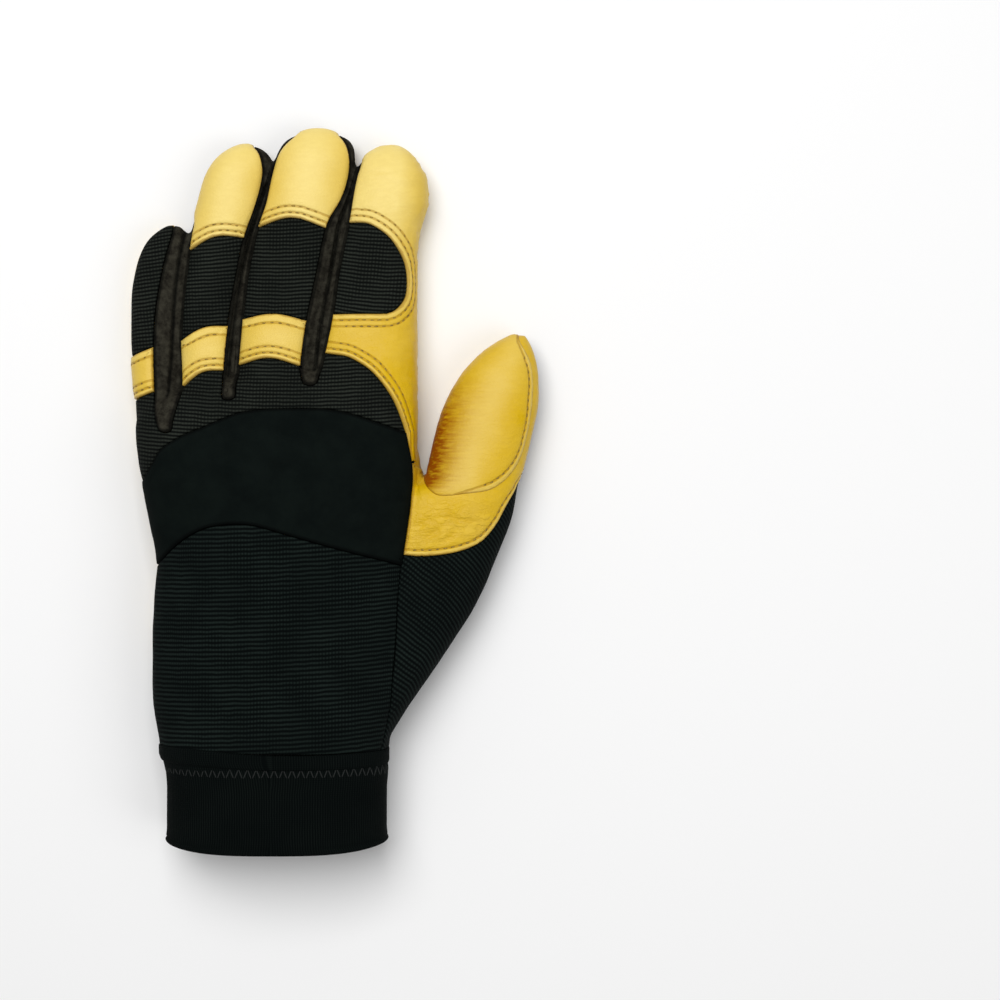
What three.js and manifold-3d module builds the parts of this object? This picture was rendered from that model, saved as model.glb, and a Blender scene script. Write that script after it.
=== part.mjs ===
import * as THREE from "three";
import { mergeVertices } from "three/addons/utils/BufferGeometryUtils.js";
import Module from "manifold-3d";

// A left-hand work glove that lies palm down: fingers along +Y, thumb towards +X, back of the hand up.
// Lengths are millimetres. The glove is a hollow hand of one wall, slit along its seams into panels.

const wasm = await Module();
wasm.setup();

// Driving dimensions
const WALL = 1.6;
const SEAM_GAP = 0.3;
const TIP_WALL = 1.2;
const SIDES = 14;
const FINGER_SQUARENESS = 2.4;
const PALM_SQUARENESS = 3;
const MID_HEIGHT = 8;
const SKY = 60;
const BELOW_FLOOR = -3;
const WRIST_END = -89.3;
const BACK_SEAM_INSET = 2.4;
const PALM_SEAM_INSET = 3;
const PALM_TOP = MID_HEIGHT + 0.1;
const ROOT = 46;
const OUTSIDE = 5;
const HEM_STEPS = 6;
const SLIVER = 0.5;

const CUFF = {
  start: -89.6,
  end: -124.9,
  left: -57.1,
  right: 18.4,
  floor: 2,
  underside: 0.5,
  top: 38,
  wall: 2.4,
  topHem: 5.5,
  bottomHem: 2.6,
  hemProud: 0.6,
  hemShoulder: 0.4,
};

const TAB = { left: -64, right: 2.5, top: -91.8, bottom: -122.8, thickness: 1.7, height: 11 };

// Each limb is a row of upright sections across Y, from the wrist side to the tip.
// Columns: y, left x, right x, lowest z, highest z. What lies below z = 0 is cut flat where it rests.
const PALM = [
  [WRIST_END, -59.8, 19.2, -1.5, 36],
  [-75, -62.2, 24, -1.5, 35],
  [-40, -63, 27, -1.5, 34.5],
  [-23, -62, 27.4, -1.5, 35],
  [-6, -65, 27.8, -1.5, 34.5],
  [8, -68, 28.2, -1.5, 32],
  [20, -68.9, 28.2, -1.5, 29],
  [27, -66, 27.5, -1.5, 27],
  [34, -48, 26.5, -1.5, 24.5],
  [39, -28, 24, 1, 21],
];

const THUMB = [
  [WRIST_END, -30, 19.2, -1.5, 34],
  [-82.9, -25, 22.5, -1.5, 33],
  [-62, -10, 36.6, -1.5, 29.5],
  [-39.3, 2, 50.9, -1.5, 27],
  [-24, 8, 57.2, -1.5, 26],
  [-9.6, 14, 62.3, -1.5, 25],
  [-1.5, 20, 64.3, -1.5, 24.5],
  [4.2, 31.8, 65.7, -1.5, 24],
  [18, 35, 69.2, -1.5, 22.5],
  [30.3, 40, 71.6, -1.5, 21],
  [38, 44.6, 71.5, -1.5, 19.5],
  [45.3, 51.5, 70.2, 0, 17],
  [49.4, 57.4, 68.6, 2, 14.5],
  [51.8, 62, 66.5, 5, 12],
];

const LITTLE = [
  [-10, -58, -46, 3, 24],
  [20, -69, -51, -1.5, 21],
  [36, -70.3, -54.3, -1.5, 18.5],
  [50, -71.6, -54.8, -1.5, 17.5],
  [64, -71.7, -54.1, -1.5, 16.5],
  [76, -70, -52.9, -1.5, 15.5],
  [84, -66.8, -51.5, 1, 14],
  [88, -63, -52.5, 3, 12.5],
  [90.5, -59, -55.5, 5.5, 10.5],
];

const RING = [
  [-10, -50, -34, 2, 26],
  [20, -54, -36.5, -1.5, 24],
  [40, -53.4, -35.8, -1.5, 21],
  [54, -53.8, -35, -1.5, 19.5],
  [85, -50.6, -29.8, -1.5, 18],
  [99, -47.6, -25.9, -1.5, 17.5],
  [107, -45.4, -24.1, -1.5, 17],
  [113, -41.8, -22.6, 0.5, 15.5],
  [117, -37.5, -24.8, 2.5, 13.5],
  [119.5, -33.5, -28.8, 6, 10.5],
];

const MIDDLE = [
  [-10, -32, -12, 2, 28],
  [20, -33.6, -11, -1.5, 25.5],
  [54, -32.8, -7.4, -1.5, 20.5],
  [70, -31.4, -4, -1.5, 19.5],
  [85, -28.4, -0.3, -1.5, 19],
  [99, -24.5, 3.5, -1.5, 18.5],
  [108, -22.5, 5.7, -1.5, 17.5],
  [114.5, -20.8, 6.8, 0, 16.5],
  [119.5, -18.3, 5.6, 1.5, 14.5],
  [123, -13.5, 1, 3.5, 12.5],
  [124.9, -9, -3.4, 6, 10.5],
];

const INDEX = [
  [-10, -8, 21, 3, 30],
  [20, -6, 28, -1.5, 27.5],
  [50, -4.8, 28.4, -1.5, 22],
  [64, -2.1, 28, -1.5, 20.5],
  [77.5, 0.8, 28, -1.5, 19.5],
  [89.5, 3.9, 29.5, -1.5, 19],
  [99, 5.4, 32.2, -1.5, 18.5],
  [106, 6.7, 31.8, -1.5, 17.5],
  [111.5, 8.4, 28.8, 0.5, 16],
  [115.3, 10.8, 26.2, 2, 14],
  [118, 15.5, 22.5, 5, 11],
];

const LIMBS = [
  { rows: PALM, squareness: PALM_SQUARENESS, open: true },
  { rows: THUMB, squareness: FINGER_SQUARENESS, open: true },
  { rows: LITTLE, squareness: FINGER_SQUARENESS, open: false },
  { rows: RING, squareness: FINGER_SQUARENESS, open: false },
  { rows: MIDDLE, squareness: FINGER_SQUARENESS, open: false },
  { rows: INDEX, squareness: FINGER_SQUARENESS, open: false },
];

// Seams of the back, drawn in plan as smooth lines through x, y.
const LITTLE_SEAM = [
  [-57, 86], [-59.4, 75.8], [-61.8, 61.5], [-62.5, 50], [-62.2, 38], [-61.5, 25], [-59.6, 18.5],
];
const INDEX_WINDOW = [
  [8, 90.3], [12.3, 89.6], [17.8, 86.3], [21.4, 82.4], [24.3, 77.5], [25.4, 72.6], [25.4, 66.9],
  [24.4, 63.3], [21.4, 59.8], [17.8, 58.6], [10.9, 58.5],
];
const INDEX_STRAP_HEM = [
  [1.3, 44.3], [7.7, 41.9], [13.3, 37.8], [17.4, 32.8], [21, 27.8], [23.1, 23.7], [24.9, 17.2],
];
const PAD_RIGHT = [[24.9, 17.2], [25.6, 7.5], [25.7, 0.5], [25.6, -6.5], [25, -15], [24.4, -24.6]];
const PAD_TOP = [
  [-74, -2], [-66.4, 0], [-61.2, 6.8], [-58.4, 11.5], [-50.9, 16.2], [-43.9, 19], [-36.9, 22],
  [-30, 24.4], [-18, 25.5], [-4, 25.5], [5, 24.2], [15, 21], [24.9, 17.2],
];
const PAD_BOTTOM = [
  [-72, -34], [-61, -28], [-55, -23.4], [-49.6, -18.9], [-43.3, -15.8], [-36.4, -14.1],
  [-30.3, -13.7], [-17.1, -16.8], [-3.3, -19.6], [10.5, -23.2], [24.4, -24.6],
];
const SIDE_SEAM = [[24.4, -24.6], [23, -37.8], [22.3, -51.7], [21.2, -65.6], [20, -78], [16, -93]];
const WEB_EDGE = [
  [24.4, -24.6], [36, -25.3], [44.4, -24], [50, -22.3], [54.6, -16.4], [57.8, -10.4], [60.2, -4.8],
  [61.8, 1], [63.4, 7], [65.2, 14], [67, 21], [68.2, 29], [68.2, 35], [67.2, 41], [66, 45.4],
];
const THUMB_TIP_EXIT = [[64.6, 49], [63.6, 56]];
const LENS_SEAM = [
  [31.3, 3.6], [32.8, -0.6], [36.3, -4.2], [41, -4.4], [47, -3.6], [53, -2.6], [56.4, 0.4],
  [60, 6], [62.2, 13], [63.6, 20], [64.6, 28], [65, 35], [65.4, 41], [66, 45.4],
];
const WRAP_SEAM = [[25.6, 7.5], [28, 6.4], [31.3, 3.6]];

// Seams of the palm side
const RADIAL_SEAM = [
  [-2.5, -96], [-1.5, -88], [3, -71], [11.5, -54.6], [21, -43], [35.5, -21], [47.5, 1], [55, 16],
  [60, 26], [63.6, 35], [65.2, 41], [66, 45.4],
];
const THUMB_FOLD = [[31.3, 3.6], [30.6, -2], [30, -9], [28.8, -18], [27, -27], [25.2, -37.4]];
const GUSSET_EDGE = [[-45, -96], [-47, -89], [-52, -76], [-56.5, -64], [-61, -53], [-68, -44]];

// Short slits that part neighbouring strips at the fingertips, and the leathers at the thumb's root
const TIP_SLITS = [
  { from: [-57, 85.7], to: [-56.2, 94] },
  { from: [-31.2, 116.4], to: [-31.2, 123] },
  { from: [-6.2, 121.8], to: [-6.2, 129] },
];
const WEB_NOTCH = [[24, 7.6], [25.6, 7.5], [28, 6.5], [31.3, 4], [33, -0.6], [33, -6], [24, -6]];

// The strips between the fingers end in rounded tongues at the roots: the point each reaches.
const TONGUES = [
  { x: -56.6, back: 17.5, palm: 21, fingers: [LITTLE, RING] },
  { x: -35, back: 28.3, palm: 26.5, fingers: [RING, MIDDLE] },
  { x: -7.6, back: 34, palm: 27.5, fingers: [MIDDLE, INDEX] },
];
const TONGUE = { halfWidth: 2, shoulder: 1.2, straight: 5, levelFrom: 8 };

// Where the index finger's own seam leaves its left side and runs out over the tip
const INDEX_TIP_EXIT = [[11.2, 110], [13, 113], [13, 120]];
const INDEX_SIDE_END = 106;

// The end of the palm side's seam at the little fingertip
const LITTLE_TIP_START = [[-62, 78], [-60, 83], [-57, 85.7]];
const LITTLE_SIDE_END = 83;

// Where the index window and the index strap's hem leave the index finger's left seam
const WINDOW_TOP = 90;
const WINDOW_BOTTOM = 58.5;
const STRAP_HEM_START = 44.6;

// On the ulnar side the palm leather meets the knits at mid height: the plan that this level seam covers.
const ULNAR_LEVEL = [
  [-52, -96], [-52, 10], [-60, 30], [-62, 60], [-61, 78], [-57, 85.7], [-56.2, 94], [-80, 94],
  [-80, -96],
];

// Hems across a finger. Columns: y at the left seam, y in the middle, y at the right seam.
const FINGER_HEMS = [
  { rows: RING, left: 80.9, middle: 85.4, right: 85.1 },
  { rows: RING, left: 49.4, middle: 53.9, right: 54.6 },
  { rows: RING, left: 33, middle: 38.2, right: 38.9 },
  { rows: MIDDLE, left: 88.9, middle: 91.8, right: 88.2 },
  { rows: MIDDLE, left: 56.9, middle: 58.6, right: 56.2 },
  { rows: MIDDLE, left: 40.7, middle: 43.1, right: 40.2 },
];
const LITTLE_HEMS = [
  [[-76, 43.4], [-70, 44.4], [-62.2, 47.3]],
  [[-76, 28.2], [-69, 29.2], [-61.6, 31.8]],
];

const LEATHER = { color: 0xe8c64a, roughness: 0.55, metalness: 0 };
const KNIT = { color: 0x1a2222, roughness: 0.95, metalness: 0 };
const NEOPRENE = { color: 0x141a1a, roughness: 0.85, metalness: 0 };
const SUEDE = { color: 0x2b2726, roughness: 0.9, metalness: 0 };
const ELASTIC = { color: 0x101514, roughness: 0.9, metalness: 0 };
const SYNTHETIC = { color: 0x262524, roughness: 0.6, metalness: 0 };

// Each panel is found by a point of its own, on the back (up) or on the palm side.
const PANELS = [
  { name: "palm_leather", at: [-20, -20], up: false, finish: LEATHER },
  { name: "web_leather", at: [42, -14], up: true, finish: LEATHER },
  { name: "thumb_leather", at: [50, 20], up: true, finish: LEATHER },
  { name: "fingertip_cap_middle", at: [-9, 106], up: true, finish: LEATHER },
  { name: "fingertip_cap_ring", at: [-36, 100], up: true, finish: LEATHER },
  { name: "knuckle_strap_middle", at: [-20, 50], up: true, finish: LEATHER },
  { name: "knuckle_strap_ring", at: [-45, 46], up: true, finish: LEATHER },
  { name: "knuckle_strap_little", at: [-66, 38], up: true, finish: LEATHER },
  { name: "finger_knit_index", at: [14, 75], up: true, finish: KNIT },
  { name: "finger_knit_middle", at: [-18, 75], up: true, finish: KNIT },
  { name: "finger_knit_ring", at: [-43, 70], up: true, finish: KNIT },
  { name: "finger_knit_little", at: [-66, 65], up: true, finish: KNIT },
  { name: "fourchette_middle_index", at: [-8, 36.5], up: true, finish: SUEDE },
  { name: "fourchette_ring_middle", at: [-35, 31.5], up: true, finish: SUEDE },
  { name: "fourchette_little_ring", at: [-58, 45], up: true, finish: SUEDE },
  { name: "knuckle_knit", at: [-20, 33], up: true, finish: KNIT },
  { name: "knuckle_pad", at: [-20, 5], up: true, finish: NEOPRENE },
  { name: "back_knit", at: [-20, -50], up: true, finish: KNIT },
  { name: "side_knit", at: [40, -45], up: true, finish: KNIT },
  { name: "wrist_gusset", at: [-56, -84], up: false, finish: NEOPRENE },
];

// A closed mesh of three.js as a solid that can be joined and cut.
function solidOf(geometry) {
  const bare = new THREE.BufferGeometry();
  bare.setAttribute("position", geometry.getAttribute("position"));
  bare.setIndex(geometry.index);
  const merged = mergeVertices(bare, 1e-4);
  const vertProperties = new Float32Array(merged.getAttribute("position").array);
  const triVerts = new Uint32Array(merged.index.array);
  return new wasm.Manifold(new wasm.Mesh({ numProp: 3, vertProperties, triVerts }));
}

function geometryOf(solid) {
  const mesh = solid.getMesh();
  const geometry = new THREE.BufferGeometry();
  geometry.setAttribute("position", new THREE.BufferAttribute(new Float32Array(mesh.vertProperties), 3));
  geometry.setIndex(new THREE.BufferAttribute(new Uint32Array(mesh.triVerts), 1));
  geometry.computeVertexNormals();
  return geometry;
}

// One upright section: a rounded rectangle between superellipse and box, drawn at a constant y.
function section([y, left, right, low, high], squareness) {
  const points = [];
  for (let i = 0; i < SIDES; i++) {
    const angle = (i / SIDES) * 2 * Math.PI;
    const across = Math.cos(angle);
    const up = Math.sin(angle);
    const power = 2 / squareness;
    const x = (left + right) / 2 + ((right - left) / 2) * Math.sign(across) * Math.abs(across) ** power;
    const z = (low + high) / 2 + ((high - low) / 2) * Math.sign(up) * Math.abs(up) ** power;
    points.push([x, y, z]);
  }
  return points;
}

// A limb skinned through its sections, with a flat fan at each end.
function limb(rows, squareness) {
  const rings = rows.map((row) => section(row, squareness));
  const positions = rings.flat(2);
  const index = [];
  for (let r = 0; r + 1 < rings.length; r++) {
    for (let i = 0; i < SIDES; i++) {
      const a = r * SIDES + i;
      const b = r * SIDES + ((i + 1) % SIDES);
      index.push(a, a + SIDES, b, b, a + SIDES, b + SIDES);
    }
  }
  const ends = [
    { ring: 0, row: rows[0], turned: true },
    { ring: rings.length - 1, row: rows.at(-1), turned: false },
  ];
  for (const { ring, row, turned } of ends) {
    const centre = positions.length / 3;
    positions.push((row[1] + row[2]) / 2, row[0], (row[3] + row[4]) / 2);
    for (let i = 0; i < SIDES; i++) {
      const a = ring * SIDES + i;
      const b = ring * SIDES + ((i + 1) % SIDES);
      index.push(centre, ...(turned ? [a, b] : [b, a]));
    }
  }
  const geometry = new THREE.BufferGeometry();
  geometry.setAttribute("position", new THREE.Float32BufferAttribute(positions, 3));
  geometry.setIndex(index);
  return solidOf(geometry);
}

// The same limb one wall further in, its tip drawn back by the wall and its first row drawn out.
function hollow(rows, squareness, drawnOut) {
  const inner = rows.map(([y, left, right, low, high]) => {
    return [y - TIP_WALL, left + WALL, right - WALL, low + WALL, high - WALL];
  });
  const [first] = inner;
  inner.unshift([first[0] - drawnOut, ...first.slice(1)]);
  return limb(inner, squareness);
}

// A flat slab over a whole plan, between two heights.
function slab(low, high) {
  const size = 600;
  const box = new THREE.BoxGeometry(size, size, high - low).translate(0, 0, (low + high) / 2);
  return solidOf(box);
}

function prism(outline, low, high) {
  const shape = new THREE.Shape(outline.map(([x, y]) => new THREE.Vector2(x, y)));
  const geometry = new THREE.ExtrudeGeometry(shape, { depth: high - low, bevelEnabled: false });
  return solidOf(geometry.translate(0, 0, low));
}

// A line moved sideways, to the right of its direction by a positive distance.
function moved(line, distance) {
  return line.map(([x, y], i) => {
    const before = line[Math.max(i - 1, 0)];
    const after = line[Math.min(i + 1, line.length - 1)];
    const direction = new THREE.Vector2(after[0] - before[0], after[1] - before[1]).normalize();
    return [x + direction.y * distance, y - direction.x * distance];
  });
}

function smooth(line, steps = line.length) {
  const curve = new THREE.SplineCurve(line.map(([x, y]) => new THREE.Vector2(x, y)));
  return curve.getPoints(steps).map((point) => [point.x, point.y]);
}

// A seam: an upright ribbon of the gap's width along a line in plan.
function slit(line, low, high) {
  const half = SEAM_GAP / 2;
  return prism([...moved(line, half), ...moved(line, -half).reverse()], low, high);
}

const backSlit = (line) => slit(line, MID_HEIGHT, SKY);
const palmSlit = (line) => slit(line, BELOW_FLOOR, PALM_TOP);
const fullSlit = (line) => slit(line, BELOW_FLOOR, SKY);

// Left or right edge of a limb at a given y.
function edgeAt(rows, column, y) {
  const next = Math.max(1, rows.findIndex((row) => row[0] >= y));
  const [low, high] = [rows[next - 1], rows[next]];
  const share = (y - low[0]) / (high[0] - low[0]);
  return THREE.MathUtils.lerp(low[column], high[column], share);
}

// One side of a limb in plan between two heights of y, set in from its edge.
function sideLine(rows, column, from, to, inset) {
  const between = rows.filter(([y]) => y > from && y < to).map((row) => [row[column], row[0]]);
  const line = [[edgeAt(rows, column, from), from], ...between, [edgeAt(rows, column, to), to]];
  return moved(line, column === 1 ? inset : -inset);
}

// Outline of a finger in plan above its root: up the left side, over the tip and down the right.
function fingerLine(rows, inset) {
  const above = rows.filter(([y]) => y > ROOT);
  const left = above.map(([y, x]) => [x, y]);
  const right = above.map(([y, , x]) => [x, y]).reverse();
  const start = [edgeAt(rows, 1, ROOT), ROOT];
  const end = [edgeAt(rows, 2, ROOT), ROOT];
  return moved([start, ...left, ...right, end], inset);
}

// Down the right side of one finger's root, round the tongue and up the left side of the next.
function crotchLine({ x, fingers: [before, after], ...reach }, side, inset) {
  const bottom = reach[side];
  const free = bottom + TONGUE.straight;
  return [
    ...sideLine(before, 2, free, ROOT - 1, inset).reverse(),
    [x - TONGUE.halfWidth, bottom + TONGUE.shoulder],
    [x, bottom],
    [x + TONGUE.halfWidth, bottom + TONGUE.shoulder],
    ...sideLine(after, 1, free, ROOT - 1, inset),
  ];
}

// The index finger's share of a seam: up its left side and out over the tip.
function indexLine(inset) {
  return [...sideLine(INDEX, 1, ROOT, INDEX_SIDE_END, inset), ...INDEX_TIP_EXIT];
}

// The seam along the top of the strips, from the little fingertip to the index fingertip.
function backSeam() {
  const [first, second, third] = TONGUES;
  const littleRing = crotchLine(first, "back", BACK_SEAM_INSET);
  return [
    ...smooth(LITTLE_SEAM),
    ...littleRing.slice(littleRing.findIndex(([, y]) => y === first.back)),
    ...fingerLine(RING, BACK_SEAM_INSET),
    ...crotchLine(second, "back", BACK_SEAM_INSET),
    ...fingerLine(MIDDLE, BACK_SEAM_INSET),
    ...crotchLine(third, "back", BACK_SEAM_INSET),
    ...indexLine(BACK_SEAM_INSET),
  ];
}

// The seam along the bottom of the strips, between the same fingertips.
function palmSeam() {
  const [first, second, third] = TONGUES;
  return [
    ...LITTLE_TIP_START,
    ...sideLine(LITTLE, 2, ROOT, LITTLE_SIDE_END, PALM_SEAM_INSET).reverse(),
    ...crotchLine(first, "palm", PALM_SEAM_INSET),
    ...fingerLine(RING, PALM_SEAM_INSET),
    ...crotchLine(second, "palm", PALM_SEAM_INSET),
    ...fingerLine(MIDDLE, PALM_SEAM_INSET),
    ...crotchLine(third, "palm", PALM_SEAM_INSET),
    ...indexLine(PALM_SEAM_INSET),
  ];
}

// A thin level cut at mid height over a plan.
const levelSlit = (outline) => prism(outline, MID_HEIGHT - SEAM_GAP / 2, MID_HEIGHT + SEAM_GAP / 2);

// The level cut between two fingers, on the hand's side of their crotch seam.
function crotchLevel(crotch, side, inset) {
  const line = crotchLine(crotch, side, inset);
  const middle = (rows) => (edgeAt(rows, 1, ROOT) + edgeAt(rows, 2, ROOT)) / 2;
  const [before, after] = crotch.fingers.map(middle);
  const from = TONGUE.levelFrom;
  return levelSlit([...line, [after, ROOT - 1], [after, from], [before, from], [before, ROOT - 1]].reverse());
}

// A hem from one side seam of a finger to the other.
function fingerHem({ rows, left, middle, right }) {
  const start = [edgeAt(rows, 1, left) + BACK_SEAM_INSET - SEAM_GAP / 2, left];
  const end = [edgeAt(rows, 2, right) - BACK_SEAM_INSET + SEAM_GAP / 2, right];
  return smooth([start, [(start[0] + end[0]) / 2, middle], end], HEM_STEPS);
}

// A line that starts on the index finger's left seam at a given y.
function fromIndexSeam(y, line) {
  return [[edgeAt(INDEX, 1, y) + BACK_SEAM_INSET - SEAM_GAP / 2, y], ...line];
}

function seams() {
  const window = [...smooth(INDEX_WINDOW), ...fromIndexSeam(WINDOW_BOTTOM, [])];
  const back = [
    backSeam(),
    fromIndexSeam(WINDOW_TOP, window),
    fromIndexSeam(STRAP_HEM_START, smooth(INDEX_STRAP_HEM)),
    ...FINGER_HEMS.map(fingerHem),
    ...LITTLE_HEMS,
    smooth(PAD_TOP),
    smooth(PAD_BOTTOM),
    smooth(PAD_RIGHT),
    smooth(SIDE_SEAM),
    [...smooth(WEB_EDGE), ...THUMB_TIP_EXIT],
    smooth(LENS_SEAM),
    WRAP_SEAM,
  ];
  const palm = [
    palmSeam(),
    [...smooth(RADIAL_SEAM), ...THUMB_TIP_EXIT],
    smooth(THUMB_FOLD),
    smooth(GUSSET_EDGE),
  ];
  const crotches = TONGUES.flatMap((crotch) => [
    crotchLevel(crotch, "back", BACK_SEAM_INSET),
    crotchLevel(crotch, "palm", PALM_SEAM_INSET),
  ]);
  return [
    ...back.map(backSlit),
    ...palm.map(palmSlit),
    ...crotches,
    ...TIP_SLITS.map(({ from, to }) => fullSlit([from, to])),
    levelSlit(ULNAR_LEVEL),
    levelSlit(WEB_NOTCH),
  ];
}

const joined = (solids) => solids.reduce((whole, next) => whole.add(next));

// The hollow hand: every limb joined, less every limb one wall further in, cut flat where it rests.
function handShell() {
  const outer = joined(LIMBS.map(({ rows, squareness }) => limb(rows, squareness)));
  const hollows = LIMBS.map(({ rows, squareness, open }) => hollow(rows, squareness, open ? OUTSIDE : 0));
  const inner = joined(hollows);
  return outer.intersect(slab(0, SKY)).subtract(inner.intersect(slab(WALL, SKY)));
}

// The bodies left after slitting, each with the volume it has round a panel's own point.
function panelSolids(shell) {
  const bodies = seams().reduce((left, cut) => left.subtract(cut), shell).decompose();
  return PANELS.map(({ name, at: [x, y], up }) => {
    const reach = [[x - 1, y - 1], [x + 1, y - 1], [x + 1, y + 1], [x - 1, y + 1]];
    const probe = up ? prism(reach, MID_HEIGHT, SKY) : prism(reach, BELOW_FLOOR, MID_HEIGHT);
    const found = bodies.filter((body) => body.intersect(probe).volume() > SLIVER);
    if (found.length !== 1) throw new Error(name + " matches " + found.length + " bodies");
    return found[0];
  });
}

// A section of the cuff at a given y, grown outwards by a distance.
function cuffRow(y, proud) {
  const { left, right, underside, top, hemProud } = CUFF;
  return [y, left - proud, right + proud, underside - proud, top - hemProud + proud];
}

// An elastic tube with a folded hem at each end.
function cuffBand() {
  const { start, end, floor, wall, topHem, bottomHem, hemProud, hemShoulder } = CUFF;
  const outer = limb([
    cuffRow(end, hemProud),
    cuffRow(end + bottomHem, hemProud),
    cuffRow(end + bottomHem + hemShoulder, 0),
    cuffRow(start - topHem - hemShoulder, 0),
    cuffRow(start - topHem, hemProud),
    cuffRow(start, hemProud),
  ], FINGER_SQUARENESS);
  const inner = limb([cuffRow(end - OUTSIDE, -wall), cuffRow(start + OUTSIDE, -wall)], FINGER_SQUARENESS);
  return outer.intersect(slab(floor, SKY)).subtract(inner.intersect(slab(floor + wall, SKY)));
}

// A strap that comes round the cuff's ulnar side, lies flat under it and ends in a half round.
function wristTab() {
  const { left, right, top, bottom, thickness, height } = TAB;
  const radius = (top - bottom) / 2;
  const shape = new THREE.Shape();
  shape.moveTo(left, bottom);
  shape.lineTo(right - radius, bottom);
  shape.absarc(right - radius, bottom + radius, radius, -Math.PI / 2, Math.PI / 2, false);
  shape.lineTo(left, top);
  const options = { depth: height, bevelEnabled: false, curveSegments: 10 };
  const plan = solidOf(new THREE.ExtrudeGeometry(shape, options));
  const clear = CUFF.hemProud + SEAM_GAP;
  const grown = (distance, past) => {
    const rows = [cuffRow(CUFF.end - past, distance), cuffRow(CUFF.start + past, distance)];
    return limb(rows, FINGER_SQUARENESS);
  };
  const outer = grown(clear + thickness, 0);
  const inner = grown(clear, OUTSIDE);
  return plan.intersect(outer).subtract(inner.intersect(slab(thickness, SKY)));
}

function piece(name, solid, finish) {
  const mesh = new THREE.Mesh(geometryOf(solid), new THREE.MeshStandardMaterial(finish));
  mesh.name = name;
  return mesh;
}

const glove = new THREE.Group();
panelSolids(handShell()).forEach((solid, i) => glove.add(piece(PANELS[i].name, solid, PANELS[i].finish)));
glove.add(piece("cuff_band", cuffBand(), ELASTIC));
glove.add(piece("wrist_tab", wristTab(), SYNTHETIC));

export default glove;
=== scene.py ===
"""A left-hand work glove of golden leather and black knit, lying palm down with its fingers along +Y.

Lengths in this file are millimetres. They become metres where a mesh is made.
"""

from __future__ import annotations

import logging
import math
from collections import Counter
from collections.abc import Callable, Iterator, Sequence
from contextlib import contextmanager
from dataclasses import dataclass, field
from enum import Enum
from typing import NamedTuple

import bpy
import numpy as np
from mathutils.bvhtree import BVHTree
from mathutils.kdtree import KDTree
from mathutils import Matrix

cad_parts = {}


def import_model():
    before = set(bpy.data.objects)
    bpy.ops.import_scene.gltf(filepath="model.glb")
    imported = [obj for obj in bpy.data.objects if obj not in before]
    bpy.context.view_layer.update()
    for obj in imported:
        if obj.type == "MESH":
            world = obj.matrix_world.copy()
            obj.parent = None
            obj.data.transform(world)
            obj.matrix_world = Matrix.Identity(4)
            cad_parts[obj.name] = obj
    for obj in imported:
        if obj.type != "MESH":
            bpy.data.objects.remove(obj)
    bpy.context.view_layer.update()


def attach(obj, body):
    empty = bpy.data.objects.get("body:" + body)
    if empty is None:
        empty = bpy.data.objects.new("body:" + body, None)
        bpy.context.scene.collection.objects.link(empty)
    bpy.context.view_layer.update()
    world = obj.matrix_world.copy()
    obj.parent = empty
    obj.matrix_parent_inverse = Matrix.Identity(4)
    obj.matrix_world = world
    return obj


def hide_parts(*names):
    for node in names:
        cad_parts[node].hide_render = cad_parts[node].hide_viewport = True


LOG = logging.getLogger("glove")
MM = 0.001
BODY = "root"

Point = tuple[float, float]
Line = list[Point]
Array = np.ndarray
Thing = bpy.types.Object


class Side(Enum):
    """The side of the hand that a seam or a panel lies on."""

    BACK = "back"
    PALM = "palm"
    BOTH = "both"


class Slot(Enum):
    """Material slots of the record."""

    LEATHER = "leather"
    FINGER_KNIT = "finger_knit"
    HAND_KNIT = "hand_knit"
    NEOPRENE = "neoprene"
    MICROSUEDE = "microsuede"
    ELASTIC = "elastic"
    SYNTHETIC = "synthetic_leather"


class Row(NamedTuple):
    """One upright section across a limb."""

    y: float
    left: float
    right: float
    low: float
    high: float

    @property
    def centre(self) -> Array:
        """Middle of the section, as x, y and z."""
        return np.array([(self.left + self.right) / 2, self.y, (self.low + self.high) / 2])

    @property
    def size(self) -> Array:
        """Width, 2 for the direction along the limb, and height."""
        return np.array([self.right - self.left, 2, self.high - self.low])


def sections(*rows: Sequence[float]) -> tuple[Row, ...]:
    """Sections of a limb from their numbers."""
    return tuple(Row(*row) for row in rows)


# Heights that part the two sides of the hand
MID_HEIGHT = 8.0
SKY = 60.0
BELOW_FLOOR = -6.0
WRIST_END = -89.3
WRIST_LINE = [
    (-90, -89.4), (-62, -89.4), (-52, -90.2), (-36, -91.4), (-20, -91.9), (0, -91.9), (22, -91.2),
    (90, -91),
]
ROOT = 46.0

# Seams
ROW_GAP = 2.2
PALM_INSET = 2.2
SEAM_WIDTH = 1.2
CUT_WIDTH = 0.12
TAPER = 0.2
SEAM_OVERRUN = 0.4
TONGUE_TURN = [(-2.3, 0.8), (0, 0), (2.3, 0.8)]
STRIP_DROP = [(-1.9, 8.2), (-3, 4.6), (-2.6, 1.5), (0, 0), (2.6, 1.5), (3, 4.6), (1.9, 8.2)]

# A panel's shape along its edge: how far relief, furrows and turned-under edges reach
PULL_REACH = 2.4
UNDERLAP = 0.85
UNDER_DEPTH = 0.45
UNDER_REACH = 1.6
CROWN_REACH = 9.0
CALM_REACH = 4.0
FURROW_WIDTH = 0.55
CREASE_STEP = 0.25
FAR = 50.0
ROLL_ANGLES = (30, 60, 88)
ROLL_DROP = 1.4
LOWEST_RIM = 0.02

# Faces that the cut leaves too small, and the largest hole that is closed
MERGED, SLIVER, HOLE_SIDES = 0.16, 0.02, 40

# Size and seed of each noise
BROAD_RIPPLE, SOFT_RIPPLE, WRINKLES, TUGS, GATHERS = (13.0, 3), (5.0, 4), (6.0, 5), (1.6, 6), (5.0, 11)

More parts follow.
